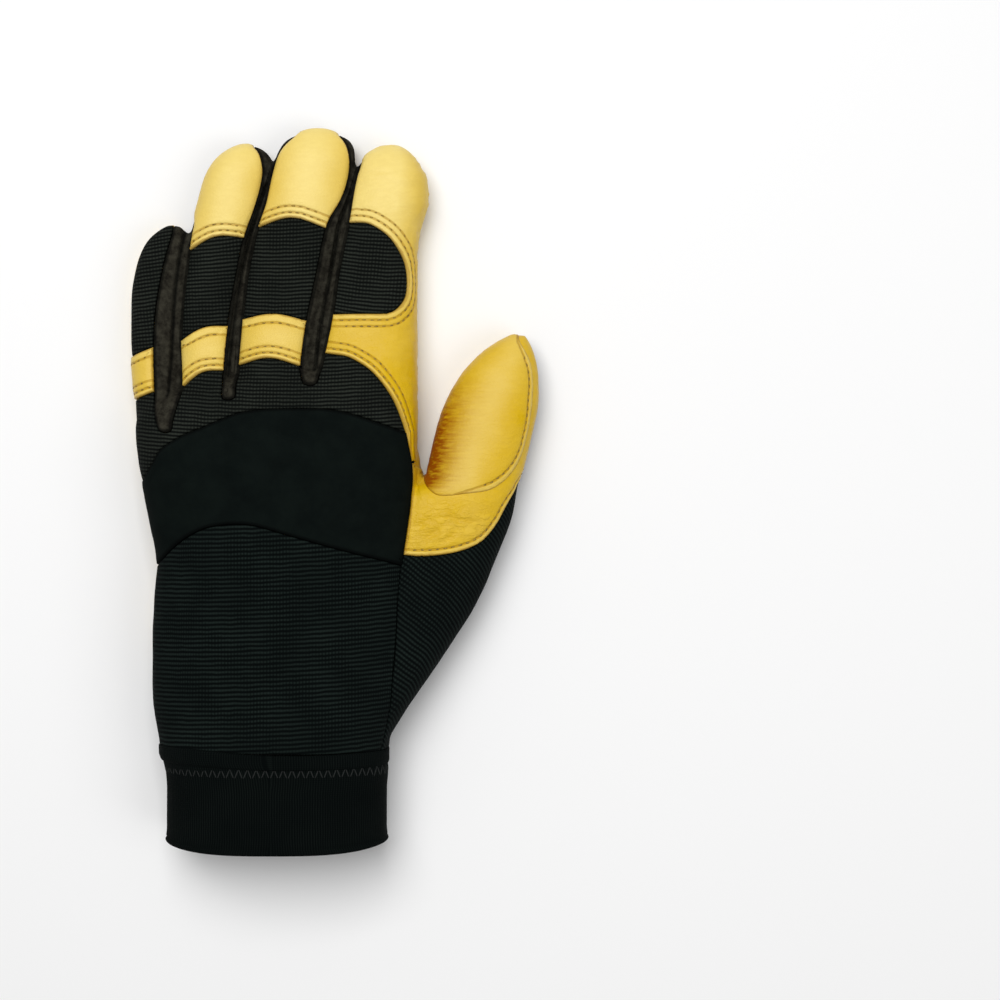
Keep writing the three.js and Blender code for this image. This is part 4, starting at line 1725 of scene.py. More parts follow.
    def row(self) -> Array:
        """Ring of thread round the hem.

        Returns:
            Rows of a point and the way out there.
        """
        ring = self.section.ring(0, 240)
        (x, z), (out_x, out_z) = ring.T, unit(ring - self.section.centre).T
        line = np.c_[x, np.full(len(x), self.sewn), z, out_x, 0 * out_x, out_z]
        return spaced(line, self.pitch)


@dataclass
class Tab:
    """A strap that comes round the cuff's ulnar side and lies flat under it, with a half-round end.

    Attributes:
        section: The cuff's section, which it follows.
        clear: Distance between the cuff and the middle of the strap.
        thickness: Its thickness.
        rest: Height of its middle where it lies flat.
        top: The y of its edge at the hand.
        bottom: The y of its edge at the open end.
        right: The x of its round end.
        height: How high it reaches at the ulnar side.
        rows: Faces across it.
        inset: Distance of the thread from its edge.
        pitch: Distance from one stitch to the next.
    """

    section: CuffSection = field(default_factory=CuffSection)
    clear: float = 1.75
    thickness: float = 1.6
    rest: float = 1.02
    top: float = -91.8
    bottom: float = -122.8
    right: float = 2.5
    height: float = 10.6
    rows: int = 36
    inset: float = 3.4
    pitch: float = 2.6

    def path(self) -> Array:
        """The strap's middle line, from its sewn end to its round end.

        Returns:
            Rows of x and z.
        """
        lower = self.section.ring(self.clear, 400, math.pi, 1.75 * math.pi)
        lower[:, 1] = rested(lower[:, 1], self.rest)
        lower = lower[(lower[:, 1] < self.height) & (lower[:, 0] < self.right)]
        return spaced(np.vstack([lower, [self.right, self.rest]]), 0.8)

    def build(self) -> Thing:
        """Model the strap: a grid laid along its path, rounded at its end, thickened and bevelled.

        Returns:
            The finished strap.
        """
        path = self.path()
        arc = arc_of(path)
        deselect_all()
        bpy.ops.mesh.primitive_grid_add(x_subdivisions=len(path), y_subdivisions=self.rows, size=2 * MM)
        tab = named("wrist_tab_skin")
        grid = vertices_of(tab)
        radius = (self.top - self.bottom) / 2
        across = np.sin(grid[:, 1] * math.pi / 2)
        reach = arc[-1] - radius + radius * np.sqrt(np.clip(1 - across**2, 0, 1))
        along = (grid[:, 0] + 1) / 2 * reach
        x, z = sampled(along, arc, path).T
        set_vertices(tab, np.c_[x, (self.top + self.bottom) / 2 + across * radius, z])
        note(tab.data, "edge", np.minimum.reduce([radius * (1 - np.abs(across)), reach - along, along]))
        apply(tab, "SOLIDIFY", thickness=self.thickness * MM, offset=0.0)
        point_outwards(tab)
        apply(tab, "BEVEL", width=0.4 * MM, segments=3, limit_method="ANGLE", angle_limit=math.radians(50))
        self.pad_rim(tab)
        tab.data.shade_smooth()
        return tab

    def pad_rim(self, tab: Thing) -> None:
        """Swell the outer face's rim and sink the furrow that the thread pulls inside it.

        Args:
            tab: The strap, with its distance to the edge noted.
        """
        points, normals = vertices_of(tab), normals_of(tab)
        away = np.empty(len(points))
        tab.data.attributes["edge"].data.foreach_get("value", away)
        flat = points[:, [0, 2]] - self.section.centre
        outer = (normals[:, [0, 2]] * flat).sum(axis=1) > 0.6 * np.linalg.norm(flat, axis=1)
        swell = 0.16 * bell(away - 1.6, 1.1) - 0.3 * bell(away - self.inset, 0.8)
        set_vertices(tab, points + normals * (swell * outer)[:, None])

    def row(self) -> Array:
        """Closed line of thread inside the strap's edge.

        Returns:
            Rows of a point on the outer face and the way out there.
        """
        path = self.path()
        arc = arc_of(path)
        outer = (self.top - self.bottom) / 2
        centre, radius, end = (self.top + self.bottom) / 2, outer - self.inset, arc[-1] - outer
        turn = np.linspace(math.pi / 2, -math.pi / 2, 24)
        along = np.r_[self.inset, end + radius * np.cos(turn), self.inset, self.inset]
        y = np.r_[centre + radius, centre + radius * np.sin(turn), centre - radius, centre + radius]
        along, y = spaced(np.c_[along, y], 1.0).T
        tangent = np.gradient(path, axis=0)
        way = unit(np.stack([tangent[:, 1], -tangent[:, 0]], axis=1))
        x, z, out_x, out_z = sampled(along, arc, np.hstack([path, way])).T
        half = self.thickness / 2
        line = np.c_[x + out_x * half, y, z + out_z * half, out_x, 0 * out_x, out_z]
        return spaced(line, self.pitch)


# Node trees


class Wire:
    """A value in a node tree. Sums and products of wires and numbers add Math nodes."""

    def __init__(self, nodes: Nodes, socket: bpy.types.NodeSocket) -> None:
        """Hold an output socket and the helper of the tree that it is in."""
        self.nodes, self.socket = nodes, socket

    def __add__(self, other: Value) -> Wire:
        """Sum of the wire and a value."""
        return self.nodes.math("ADD", self, other)

    def __sub__(self, other: Value) -> Wire:
        """The wire less a value."""
        return self.nodes.math("SUBTRACT", self, other)

    def __rsub__(self, other: float) -> Wire:
        """A number less the wire."""
        return self.nodes.math("SUBTRACT", other, self)

    def __mul__(self, other: Value) -> Wire:
        """Product of the wire and a value."""
        return self.nodes.math("MULTIPLY", self, other)

    def __truediv__(self, other: Value) -> Wire:
        """The wire divided by a value."""
        return self.nodes.math("DIVIDE", self, other)

    def __rtruediv__(self, other: float) -> Wire:
        """A number divided by the wire."""
        return self.nodes.math("DIVIDE", other, self)

    def __abs__(self) -> Wire:
        """The wire without its sign."""
        return self.nodes.math("ABSOLUTE", self)


Value = Wire | float | Sequence[float]


class Nodes:
    """A node tree that is being wired."""

    def __init__(self, tree: bpy.types.NodeTree) -> None:
        """Hold a material's tree or a node group."""
        self.tree = tree

    def plug(self, value: Value, socket: bpy.types.NodeSocket) -> None:
        """Give an input socket a wire or a constant.

        Args:
            value: The wire or the constant.
            socket: The input socket.
        """
        if isinstance(value, Wire):
            self.tree.links.new(value.socket, socket)
        else:
            socket.default_value = value

    def add(self, kind: str, inputs: dict[str | int, Value], **settings: object) -> bpy.types.Node:
        """Add a node.

        Args:
            kind: Its type, without ShaderNode.
            inputs: A value for each named or numbered input.
            settings: The node's own properties.

        Returns:
            The node.
        """
        node = self.tree.nodes.new(kind if kind.startswith("Node") else "ShaderNode" + kind)
        for key, value in settings.items():
            setattr(node, key, value)
        for key, value in inputs.items():
            self.plug(value, node.inputs[key])
        return node

    def wire(
        self, kind: str, inputs: dict[str | int, Value], output: str | int = 0, **settings: object
    ) -> Wire:
        """Add a node and give one of its outputs as a wire."""
        return Wire(self, self.add(kind, inputs, **settings).outputs[output])

    def group(self, tree: bpy.types.NodeTree, **inputs: Value) -> list[Wire]:
        """Place a node group and give its outputs in order."""
        return [Wire(self, socket) for socket in self.add("Group", inputs, node_tree=tree).outputs]

    def math(self, operation: str, *values: Value, clamp: bool = False) -> Wire:
        """Add a Math node."""
        return self.wire("Math", dict(enumerate(values)), operation=operation, use_clamp=clamp)

    def vector(self, operation: str, first: Wire, second: Value) -> Wire:
        """Add a Vector Math node that adds, multiplies or scales."""
        key = "Scale" if operation == "SCALE" else 1
        return self.wire("VectorMath", {0: first, key: second}, operation=operation)

    def split(self, vector: Wire) -> list[Wire]:
        """Part a vector into its three numbers."""
        return [Wire(self, socket) for socket in self.add("SeparateXYZ", {"Vector": vector}).outputs]

    def ramp(self, value: Wire, low: float, high: float) -> Wire:
        """Map a value smoothly to 0 below low and 1 above high."""
        inputs = {"Value": value, "From Min": low, "From Max": high}
        return self.wire("MapRange", inputs, "Result", interpolation_type="SMOOTHSTEP")

    def wave(self, along: Wire, length: Wire) -> Wire:
        """Wave between 0 and 1 with a given length."""
        return self.math("SINE", along / length * math.tau) * 0.5 + 0.5

    def noise(self, place: Wire, size: Value, detail: float = 2.0, rough: float = 0.55) -> Wire:
        """Noise between 0 and 1 over a place in millimetres, with features of a given size."""
        inputs = {"Vector": place, "Scale": 1 / size, "Detail": detail, "Roughness": rough}
        return self.wire("TexNoise", inputs, "Fac")

    def blend(self, share: Value, first: Value, second: Value) -> Wire:
        """Mix two colours, with a share of the second."""
        return self.wire("Mix", {0: share, 6: first, 7: second}, 2, data_type="RGBA")

    def attribute(self, name: str, output: str = "Vector") -> Wire:
        """Read a mesh attribute."""
        return self.wire("Attribute", {}, output, attribute_name=name)

    def give(self, **outputs: Wire) -> bpy.types.NodeTree:
        """Finish a node group.

        Args:
            outputs: The wire of each named output.

        Returns:
            The group.
        """
        for name in outputs:
            self.tree.interface.new_socket(name, in_out="OUTPUT", socket_type="NodeSocketFloat")
        self.add("NodeGroupOutput", outputs)
        return self.tree


def node_group(name: str, **inputs: float | None) -> tuple[Nodes, list[Wire]]:
    """Start a node group.

    Args:
        name: Its name.
        inputs: The default of each number that it takes, or None for a vector.

    Returns:
        The wiring helper and the wires of the inputs in order.
    """
    tree = bpy.data.node_groups.new(name, "ShaderNodeTree")
    for key, default in inputs.items():
        kind = "NodeSocketVector" if default is None else "NodeSocketFloat"
        socket = tree.interface.new_socket(key, in_out="INPUT", socket_type=kind)
        if default is not None:
            socket.default_value = default
    nodes = Nodes(tree)
    start = nodes.add("NodeGroupInput", {})
    return nodes, [Wire(nodes, start.outputs[key]) for key in inputs]


class Effects:
    """Node groups that the materials share. Their heights are in millimetres."""

    def __init__(self) -> None:
        """Build every group once."""
        self.grain, self.ribs, self.fuzz = self.build_grain(), self.build_ribs(), self.build_fuzz()
        self.seam_shade, self.thread = self.build_seam_shade(), self.build_thread()

    @staticmethod
    def build_grain() -> bpy.types.NodeTree:
        """Leather grain: pebbles, fine pores and stretched wrinkles.

        Returns:
            A group that gives the height and a mask of the wrinkles.
        """
        nodes, (place, pebble, depth, wrinkle) = node_group(
            "leather_grain", Place=None, Pebble=1.3, Depth=0.05, Wrinkle=0.08
        )
        warp = nodes.wire("TexNoise", {"Vector": place, "Scale": 0.9, "Detail": 2.0}, "Color")
        warped = nodes.vector("ADD", place, nodes.vector("SCALE", warp, 0.9))
        tiled = {"Vector": warped, "Scale": 1 / pebble}
        cells = nodes.ramp(nodes.wire("TexVoronoi", tiled, feature="DISTANCE_TO_EDGE"), 0.0, 0.28)
        pores = nodes.noise(place, 0.35, 3.0)
        stretched = nodes.vector("MULTIPLY", warped, (0.32, 1.0, 0.6))
        broad = {"Vector": stretched, "Scale": 0.42, "Detail": 4.0, "Roughness": 0.6}
        crease = nodes.ramp(abs(nodes.wire("TexNoise", broad, "Fac") - 0.5), 0.0, 0.12)
        return nodes.give(Height=(cells + pores * 0.5) * depth + crease * wrinkle, Creases=1.0 - crease)

    @staticmethod
    def build_ribs() -> bpy.types.NodeTree:
        """Ribbed knit: rows of rounded ribs crossed by fine wales.

        Returns:
            A group that gives the height, a mask of the ribs and one of the wales.
        """
        nodes, (weave, pitch, wale, depth) = node_group(
            "knit_ribs", Weave=None, Pitch=1.9, Wale=0.9, Depth=0.2
        )
        across, along, _ = nodes.split(weave)
        swayed = along + (nodes.noise(weave, 5.0, 2.0) - 0.5) * 0.7
        ridge = nodes.ramp(nodes.wave(swayed, pitch), 0.12, 0.95)
        wales = nodes.wave(across, wale)
        rough = ridge * 0.7 + wales * 0.26 + nodes.noise(weave, 0.4, 2.0) * 0.16
        return nodes.give(Height=rough * depth, Ridge=ridge, Wales=wales)

    @staticmethod
    def build_seam_shade() -> bpy.types.NodeTree:
        """Shade that rises towards a panel's edge, broken up a little.

        Returns:
            A group that gives the mask.
        """
        nodes, (edge, place, reach) = node_group("seam_shade", Edge=0.0, Place=None, Reach=1.5)
        broken = (nodes.noise(place, 3.0) - 0.5) * 1.2
        return nodes.give(Mask=1.0 - nodes.ramp((edge + broken) / reach, -0.6, 1.0))

    @staticmethod
    def build_thread() -> bpy.types.NodeTree:
        """Furrows along rows of thread and the rolled edge beside them.

        Returns:
            A group that gives a mask of each and the height.
        """
        nodes, (thread, place) = node_group("thread_furrows", Thread=None, Place=None)
        double, single, _ = nodes.split(thread)
        away = nodes.math("MINIMUM", abs(double), abs(double - ROW_GAP))
        away = nodes.math("MINIMUM", away, abs(single))
        pucker = (nodes.noise(place, 1.3) - 0.5) * 0.35
        furrow = 1.0 - nodes.ramp(away + pucker, 0.1, 0.6)
        outside = 1.0 - nodes.ramp(nodes.math("MINIMUM", double, single), -0.7, -0.35)
        return nodes.give(Furrow=furrow, Ridge=outside, Height=furrow * -0.16)

    @staticmethod
    def build_fuzz() -> bpy.types.NodeTree:
        """Napped cloth: fine fibres and soft clouds.

        Returns:
            A group that gives the height, the clouds and the fibres.
        """
        nodes, (place, depth, grain, mottle) = node_group(
            "cloth_fuzz", Place=None, Depth=0.06, Grain=0.35, Mottle=9.0
        )
        fibres = nodes.noise(place, grain, 3.0, 0.7)
        return nodes.give(Height=fibres * depth, Cloud=nodes.noise(place, mottle, 4.0, 0.6), Fibres=fibres)


def srgb(*levels: int) -> tuple[float, ...]:
    """A colour of red, green and blue from 0 to 255 as a linear one with its alpha."""
    shares = [level / 255 for level in levels]
    return (*(c / 12.92 if c <= 0.04045 else ((c + 0.055) / 1.055) ** 2.4 for c in shares), 1.0)


@dataclass(frozen=True)
class Finish:
    """What every finish has: its name and the shader's constant values.

    Attributes:
        name: The material's name.
        roughness: The mean roughness.
        specular: The specular level.
    """

    name: str
    roughness: float = 0.6
    specular: float = 0.5

    def start(self) -> tuple[Nodes, bpy.types.Node, Wire]:
        """Make the material.

        Returns:
            The wiring helper, the shader, and the place on the object in millimetres.
        """
        material = bpy.data.materials.new(self.name)
        material.use_nodes = True
        nodes = Nodes(material.node_tree)
        shader = material.node_tree.nodes["Principled BSDF"]
        shader.inputs["Roughness"].default_value = self.roughness
        shader.inputs["Specular IOR Level"].default_value = self.specular
        place = nodes.vector("SCALE", nodes.wire("TexCoord", {}, "Object"), 1 / MM)
        return nodes, shader, place

    def end(self, nodes: Nodes, shader: bpy.types.Node, colour: Wire, height: Wire) -> bpy.types.Material:
        """Wire the colour and the bump into the shader.

        Args:
            nodes: The wiring helper.
            shader: The shader.
            colour: The colour.
            height: The height in millimetres.

        Returns:
            The finished material.
        """
        bump = nodes.wire("Bump", {"Height": height, "Distance": MM, "Strength": 1.0}, "Normal")
        nodes.plug(colour, shader.inputs["Base Color"])
        nodes.plug(bump, shader.inputs["Normal"])
        return bpy.data.materials[self.name]


@dataclass(frozen=True)
class LeatherFinish(Finish):
    """Grain leather, with painted shade in its creases, in the furrows under its thread and towards its
    edges, and painted highlight on its middles and beside its thread.

    Attributes:
        pale: Colour of the painted highlight on the middles of panels and on the rolled edge outside the
            thread.
        full: Its main colour.
        deep: Colour of the painted shade in creases and in the furrows under the thread.
        seam: Colour of the painted shade towards a panel's edge.
        darker_brown: Colour of the darker brown towards the thumb's inner edge.
        grain: Depth of the grain.
        wrinkle: Depth of the fine wrinkles.
        pebble: Size of the pebbles.
        cloud: Size of its random paler and fuller patches.
        streak: Width of the streaks in the darker brown.
    """

    pale: tuple = srgb(235, 211, 124)
    full: tuple = srgb(212, 172, 4)
    deep: tuple = srgb(168, 122, 6)
    seam: tuple = srgb(140, 92, 8)
    darker_brown: tuple = srgb(146, 76, 2)
    grain: float = 0.03
    wrinkle: float = 0.035
    pebble: float = 1.1
    cloud: float = 14.0
    streak: float = 0.9

    def build(self, effects: Effects) -> bpy.types.Material:
        """Wire the leather.

        Args:
            effects: The shared node groups.

        Returns:
            The material.
        """
        nodes, shader, place = self.start()
        # Shares of darker brown, of painted highlight and of wrinkles from use.
        dyed, highlight_share, worked = nodes.split(nodes.attribute("dye"))
        wrinkle = (1.0 - highlight_share * 0.6 + worked * 2.0) * self.wrinkle
        height, creases = nodes.group(
            effects.grain, Place=place, Pebble=self.pebble, Depth=self.grain, Wrinkle=wrinkle
        )
        edge = nodes.attribute("edge", "Fac")
        (shade,) = nodes.group(effects.seam_shade, Place=place, Edge=edge, Reach=0.35)
        furrow, rolled, sunk = nodes.group(effects.thread, Thread=nodes.attribute("thread"), Place=place)
        cloud = nodes.noise(place, self.cloud, 4.0)
        # Painted highlight: the pale colour mixed in by the highlight share, with random paler and fuller
        # patches.
        highlight_and_patches = nodes.math("ADD", highlight_share, (cloud - 0.5) * 0.4, clamp=True)
        tone = nodes.blend(highlight_and_patches, self.full, self.pale)
        # Painted highlight on the rolled edge outside the thread.
        tone = nodes.blend(rolled * 0.35, tone, self.pale)
        # Painted shade in the grain's creases.
        tone = nodes.blend(creases * (worked * 0.07 + 0.04), tone, self.deep)
        # Painted shade in the furrows under the thread.
        tone = nodes.blend(furrow * 0.6, tone, self.deep)
        # Darker brown with streaks where the brown share is set, at the thumb's inner edge.
        streaks = nodes.noise(nodes.vector("MULTIPLY", place, (0.1, 1.0, 0.3)), self.streak, 4.0)
        tone = nodes.blend(nodes.math("MULTIPLY", dyed, streaks * 3.0 - 0.5, clamp=True), tone, self.darker_brown)
        nodes.plug(cloud * 0.16 + (self.roughness - 0.08), shader.inputs["Roughness"])
        # Painted shade towards each panel's edge.
        return self.end(nodes, shader, nodes.blend(shade * 0.5, tone, self.seam), height + sunk)


@dataclass(frozen=True)
class KnitFinish(Finish):
    """Ribbed knit.

    Attributes:
        groove: Colour between the ribs.
        ridge: Colour on the ribs.
        pitch: Distance from one rib to the next.
        wale: Distance from one fine wale to the next.
        depth: Depth of the ribs.
        grid: How clearly the wales show across the ribs.
    """

    groove: tuple = srgb(3, 6, 6)
    ridge: tuple = srgb(28, 37, 34)
    pitch: float = 1.53
    wale: float = 1.1
    depth: float = 0.22
    grid: float = 0.75

    def build(self, effects: Effects) -> bpy.types.Material:
        """Wire the knit.

        Args:
            effects: The shared node groups.

        Returns:
            The material.
        """
        nodes, shader, place = self.start()
        sizes = {"Pitch": self.pitch, "Wale": self.wale, "Depth": self.depth}
        height, ridge, wales = nodes.group(effects.ribs, Weave=nodes.attribute("weave"), **sizes)
        lit = ridge * (nodes.ramp(nodes.noise(place, 16.0, 3.0), 0.3, 0.7) * 0.3 + 0.6)
        open_weave = nodes.ramp(nodes.noise(place, 11.0, 2.0), 0.35, 0.65)
        gap = (1.0 - wales) * ((open_weave * 0.7 + 0.3) * self.grid)
        return self.end(nodes, shader, nodes.blend(lit * (1.0 - gap), self.groove, self.ridge), height)


@dataclass(frozen=True)
class ClothFinish(Finish):
    """Smooth or napped cloth without ribs.

    Attributes:
        dark: Its darker colour.
        light: Its lighter colour.
        seam: Colour of the painted shade at its edges and in its grooves.
        depth: Depth of its nap.
        grain: Size of its nap.
        mottle: Size of its lighter and darker patches.
    """

    dark: tuple = srgb(7, 12, 11)
    light: tuple = srgb(12, 18, 16)
    seam: tuple = srgb(3, 4, 4)
    depth: float = 0.02
    grain: float = 0.3
    mottle: float = 9.0

    def build(self, effects: Effects) -> bpy.types.Material:
        """Wire the cloth.

        Args:
            effects: The shared node groups.

        Returns:
            The material.
        """
        nodes, shader, place = self.start()
        sizes = {"Depth": self.depth, "Grain": self.grain, "Mottle": self.mottle}
        height, cloud, fibres = nodes.group(effects.fuzz, Place=place, **sizes)
        speckled = nodes.math("ADD", nodes.ramp(cloud, 0.25, 0.75), fibres - 0.5, clamp=True)
        tone = nodes.blend(speckled, self.dark, self.light)
        # Painted shade: near black towards the panel's edges and in the grooves of the strips between the
        # fingers.
        near = 1.0 - nodes.ramp(nodes.attribute("edge", "Fac"), 0.0, 0.8)
        shade = nodes.math("MAXIMUM", nodes.split(nodes.attribute("dye"))[0], near * 0.7)
        return self.end(nodes, shader, nodes.blend(shade, tone, self.seam), height)


@dataclass(frozen=True)
class ThreadFinish(Finish):
    """Twisted sewing thread.

    Attributes:
        colour: Its colour.
        shade: The colour between its strands.
    """

    colour: tuple = srgb(168, 134, 38)
    shade: tuple = srgb(100, 76, 12)

    def build(self) -> bpy.types.Material:
        """Wire the thread.

        Returns:
            The material.
        """
        nodes, shader, place = self.start()
        strands = nodes.noise(place, 0.4, 2.0)
        colour = nodes.blend(nodes.ramp(strands, 0.35, 0.65), self.shade, self.colour)
        return self.end(nodes, shader, colour, strands * 0.08)


@dataclass(frozen=True)
class FloorFinish(Finish):
    """Plain pale floor.

    Attributes:
        colour: Its colour.
    """

    colour: tuple = srgb(244, 244, 244)

    def build(self) -> bpy.types.Material:
        """Set the floor's plain colour.

        Returns:
            The material.
        """
        _, shader, _ = self.start()
        shader.inputs["Base Color"].default_value = self.colour
        return bpy.data.materials[self.name]


# The glove's panels

TOP_Z = 36.0


def across_hand(points: Array) -> Array:
    """Knit coordinates of the lower back: ribs across the hand, wrapped down its sides.

    Args:
        points: Places in millimetres.

    Returns:
        The two coordinates of each.
    """
    x, y, z = points.T
    wrap = np.sign(x + 19) * np.clip(TOP_Z - 3 - z, 0, None)
    return np.c_[x + wrap, y - 0.05 * (x + 30) - 0.0006 * (x + 19) ** 2]


def over_knuckles(points: Array) -> Array:
    """Knit coordinates between the straps and the pad: ribs across, bowed with the knuckles."""
    x, y, _ = points.T
    return np.c_[x, y - 0.0012 * (x + 15) ** 2]


def along_finger(lean: float, middle: float) -> Callable[[Array], Array]:
    """Knit coordinates of a finger's window.

    Args:
        lean: The finger's lean to the right, in degrees.
        middle: The x of its middle line at its root.

    Returns:
        A function that gives the coordinates of points.
    """
    angle = math.radians(lean)

    def weave(points: Array) -> Array:
        """Ribs across the finger, square to its lean.

        Args:
            points: Places in millimetres.

        Returns:
            The two coordinates of each.
        """
        x, y, _ = points.T
        return np.c_[
            x * math.cos(angle) - y * math.sin(angle),
            (x - middle) * math.sin(angle) + y * math.cos(angle) - 0.006 * (x - middle) ** 2,
        ]

    return weave


def on_the_slant(points: Array) -> Array:
    """Knit coordinates of the radial side: ribs on the slant, wrapped down the thumb's outer side.

    Args:
        points: Places in millimetres.

    Returns:
        The two coordinates of each.
    """
    x, y, z = points.T
    wrapped = x + np.clip(26 - z, 0, None) * 0.8
    angle = math.radians(-38)
    return np.c_[
        wrapped * math.cos(angle) + y * math.sin(angle),
        -wrapped * math.sin(angle) + y * math.cos(angle),
    ]


EVERYWHERE = 99.0

FINISHES = {
    Slot.LEATHER: LeatherFinish("golden_leather", 0.42, 0.2),
    Slot.FINGER_KNIT: KnitFinish(
        "finger_rib_knit", 0.9, 0.06, srgb(6, 8, 7), srgb(47, 51, 45), pitch=1.33, wale=1.16, depth=0.2
    ),
    Slot.HAND_KNIT: KnitFinish("hand_rib_knit", 0.9, 0.05),
    Slot.NEOPRENE: ClothFinish("matte_neoprene", 0.9, 0.04),
    Slot.MICROSUEDE: ClothFinish(
        "charcoal_microsuede", 1.0, 0.03, srgb(24, 22, 18), srgb(54, 52, 44), depth=0.1, grain=0.5, mottle=2.6
    ),
    Slot.ELASTIC: KnitFinish(
        "ribbed_elastic", 0.9, 0.04, ridge=srgb(15, 20, 18), pitch=0.85, wale=0.7, depth=0.12
    ),
    Slot.SYNTHETIC: ClothFinish(
        "synthetic_leather", 0.6, 0.2, srgb(17, 17, 15), srgb(27, 27, 24), depth=0.05
    ),
}

# The panel, the seam and the distance from it of each row of gold thread
SEWN = (
    ("palm_leather", "index_window", 2.3, 4.5),
    ("palm_leather", "index_strap_hem", 1.8, 4.0),
    ("fingertip_cap_middle", "middle_cap_hem", 1.8, 4.0),
    ("fingertip_cap_ring", "ring_cap_hem", 1.8, 4.0),
    ("knuckle_strap_middle", "middle_strap_hem", 1.8, 4.0),
    ("knuckle_strap_middle", "middle_strap_top", 3.2),
    ("knuckle_strap_ring", "ring_strap_hem", 1.8, 4.0),
    ("knuckle_strap_ring", "ring_strap_top", 3.2),
    ("knuckle_strap_little", "little_strap_hem", 1.8, 4.0),
    ("knuckle_strap_little", "little_strap_top", 2.8),
    ("web_leather", "web_edge", 2.0),
    ("thumb_leather", "lens_seam", 2.4),
)
GOLD_ROWS = tuple(StitchRow(panel, seam, inset) for panel, seam, *insets in SEWN for inset in insets)


def furrows(panel: str) -> tuple[Dip, ...]:
    """Furrows under a panel's rows of stitches."""
    return tuple(Dip(row.seam, row.inset) for row in GOLD_ROWS if row.panel == panel)


WEB_FOLDS = (
    Crease([(37.9, -8.6), (41.7, -10.8), (45.1, -12.5)], 0.55, 0.6),
    Crease([(36.3, -11.4), (41.2, -11.9), (45.1, -14.7)], 0.5, 0.6),
    Crease([(41.7, -12.4), (47.2, -13), (51.7, -14.7)], 0.45, 0.6),
    Crease([(28.5, -16.8), (31, -14), (34, -11.9)], 0.45, 1.0),
    Crease([(30.2, -20.7), (35, -17.2), (39, -14.7)], 0.5, 1.0),
    Crease([(36, -21.5), (41, -18), (44, -15.6)], 0.4, 0.9),
)
PALM_FOLDS = (
    Crease([(-38, 25), (-43, 24.5), (-49, 22)], 0.72, 1.0),
    Crease([(-31.5, 28), (-23, 30), (-11, 27.5)], 0.87, 1.1),
    Crease([(-30, 23.5), (-21, 25), (-12, 22.5)], 0.51, 0.9),
    Crease([(-4, 28), (9, 25), (25, 21)], 0.87, 1.1),
    Crease([(-2, 22.5), (10, 20), (20, 15)], 0.51, 0.9),
    Crease([(14, 22), (22, 12), (27, 3)], 0.72, 1.1),
    Crease([(25, -0.5), (10, 4), (-4, 5), (-22, 2), (-38, -4)], 0.8, 1.2),
    Crease([(18, 6), (2, 9), (-14, 8.5), (-28, 5)], 0.43, 1.0),
    Crease([(31, -7), (20, -5), (6, -8)], 1.01, 1.1),
    Crease([(31, -15), (22, -15.5), (12, -13)], 0.8, 1.0),
    Crease([(30, -23), (21, -26), (12, -25)], 0.72, 1.0),
)
STRIP_GROOVES = {
    "fourchette_ring_middle": [
        (-21.1, 111.8), (-26, 97.5), (-29, 87.7), (-31.3, 78.7), (-33.2, 68.9), (-34.7, 57.6), (-35.8, 46.4),
        (-36.4, 37),
    ],
    "fourchette_middle_index": [
        (8.2, 111), (5.5, 101.2), (1.8, 90.7), (-0.1, 80.2), (-2, 68.9), (-4.2, 57.6), (-5.3, 50.1),
        (-6.4, 39),
    ],
    "fourchette_little_ring": [(-52.5, 88), (-54.6, 74), (-55.8, 60), (-56.4, 45), (-57.2, 30)],
}
THUMB_EDGE = [(31.2, 1), (33.4, 10), (36, 19), (40, 28), (44, 36)]
THUMB_MIDDLE = [(44, -2), (49, 14), (55, 28), (60, 40), (63, 48)]


def away_from(line: Line, points: Array) -> Array:
    """Distance in plan of each point from a line."""
    return distance_to_line(points[:, :2], np.asarray(line, float))


def thumb_brown_and_highlight(points: Array) -> Array:
    """Darker brown towards the thumb's inner edge near its fold, and painted highlight down its middle.

    Args:
        points: Places in millimetres.

    Returns:
        The shares of darker brown, of painted highlight and of wrinkles for each.
    """
    x, y, z = points.T
    fade = np.clip((38 - y) / 26, 0, 1) * np.clip((y + 5) / 5, 0, 1) * np.clip((z - 3) / 4, 0, 1)
    dyed = np.exp(-((away_from(THUMB_EDGE, points) / 6.0) ** 1.3))
    middle_highlight = bell(away_from(THUMB_MIDDLE, points), 6.5)
    return np.c_[1.25 * dyed * fade, 0.05 + 0.3 * middle_highlight, 0.4 * (1 - middle_highlight)]


def palm_leather_highlight(points: Array) -> Array:
    """Painted highlight on the palm's leather: rising over the index fingertip, and even over the palm side.

    Args:
        points: Places in millimetres.

    Returns:
        For each, no darker brown, the share of painted highlight and the share of wrinkles.
    """
    upper = np.interp(points[:, 1], (36, 50, 62, 80, 96), (0.0, 0.15, 0.2, 0.55, 1.0))
    upper *= 1 - 0.6 * np.clip((points[:, 0] - 22) / 8, 0, 1)
    below = points[:, 2] < MID_HEIGHT
    return np.c_[0 * upper, np.where(below, 0.6, upper), np.where(below, 1.0, 0.1)]


def highlight_along(share: float, middle: Line, reach: float = 9.0, worked: float = 0.0) -> Callable[[Array], Array]:
    """Painted highlight along a line in plan, which fades to either side of it, and wrinkles from use.

    Args:
        share: How much of it there is.
        middle: The line.
        reach: How far it reaches.
        worked: The share of wrinkles.

    Returns:
        A function that gives, for points, no darker brown, the share of painted highlight and the share of
        wrinkles.
    """

    def fading_highlight(points: Array) -> Array:
        """No darker brown, the share of painted highlight and the share of wrinkles."""
        near = bell(away_from(middle, points), reach)
        return np.c_[0 * near, share * (0.45 + 0.55 * near), worked * near]

    return fading_highlight


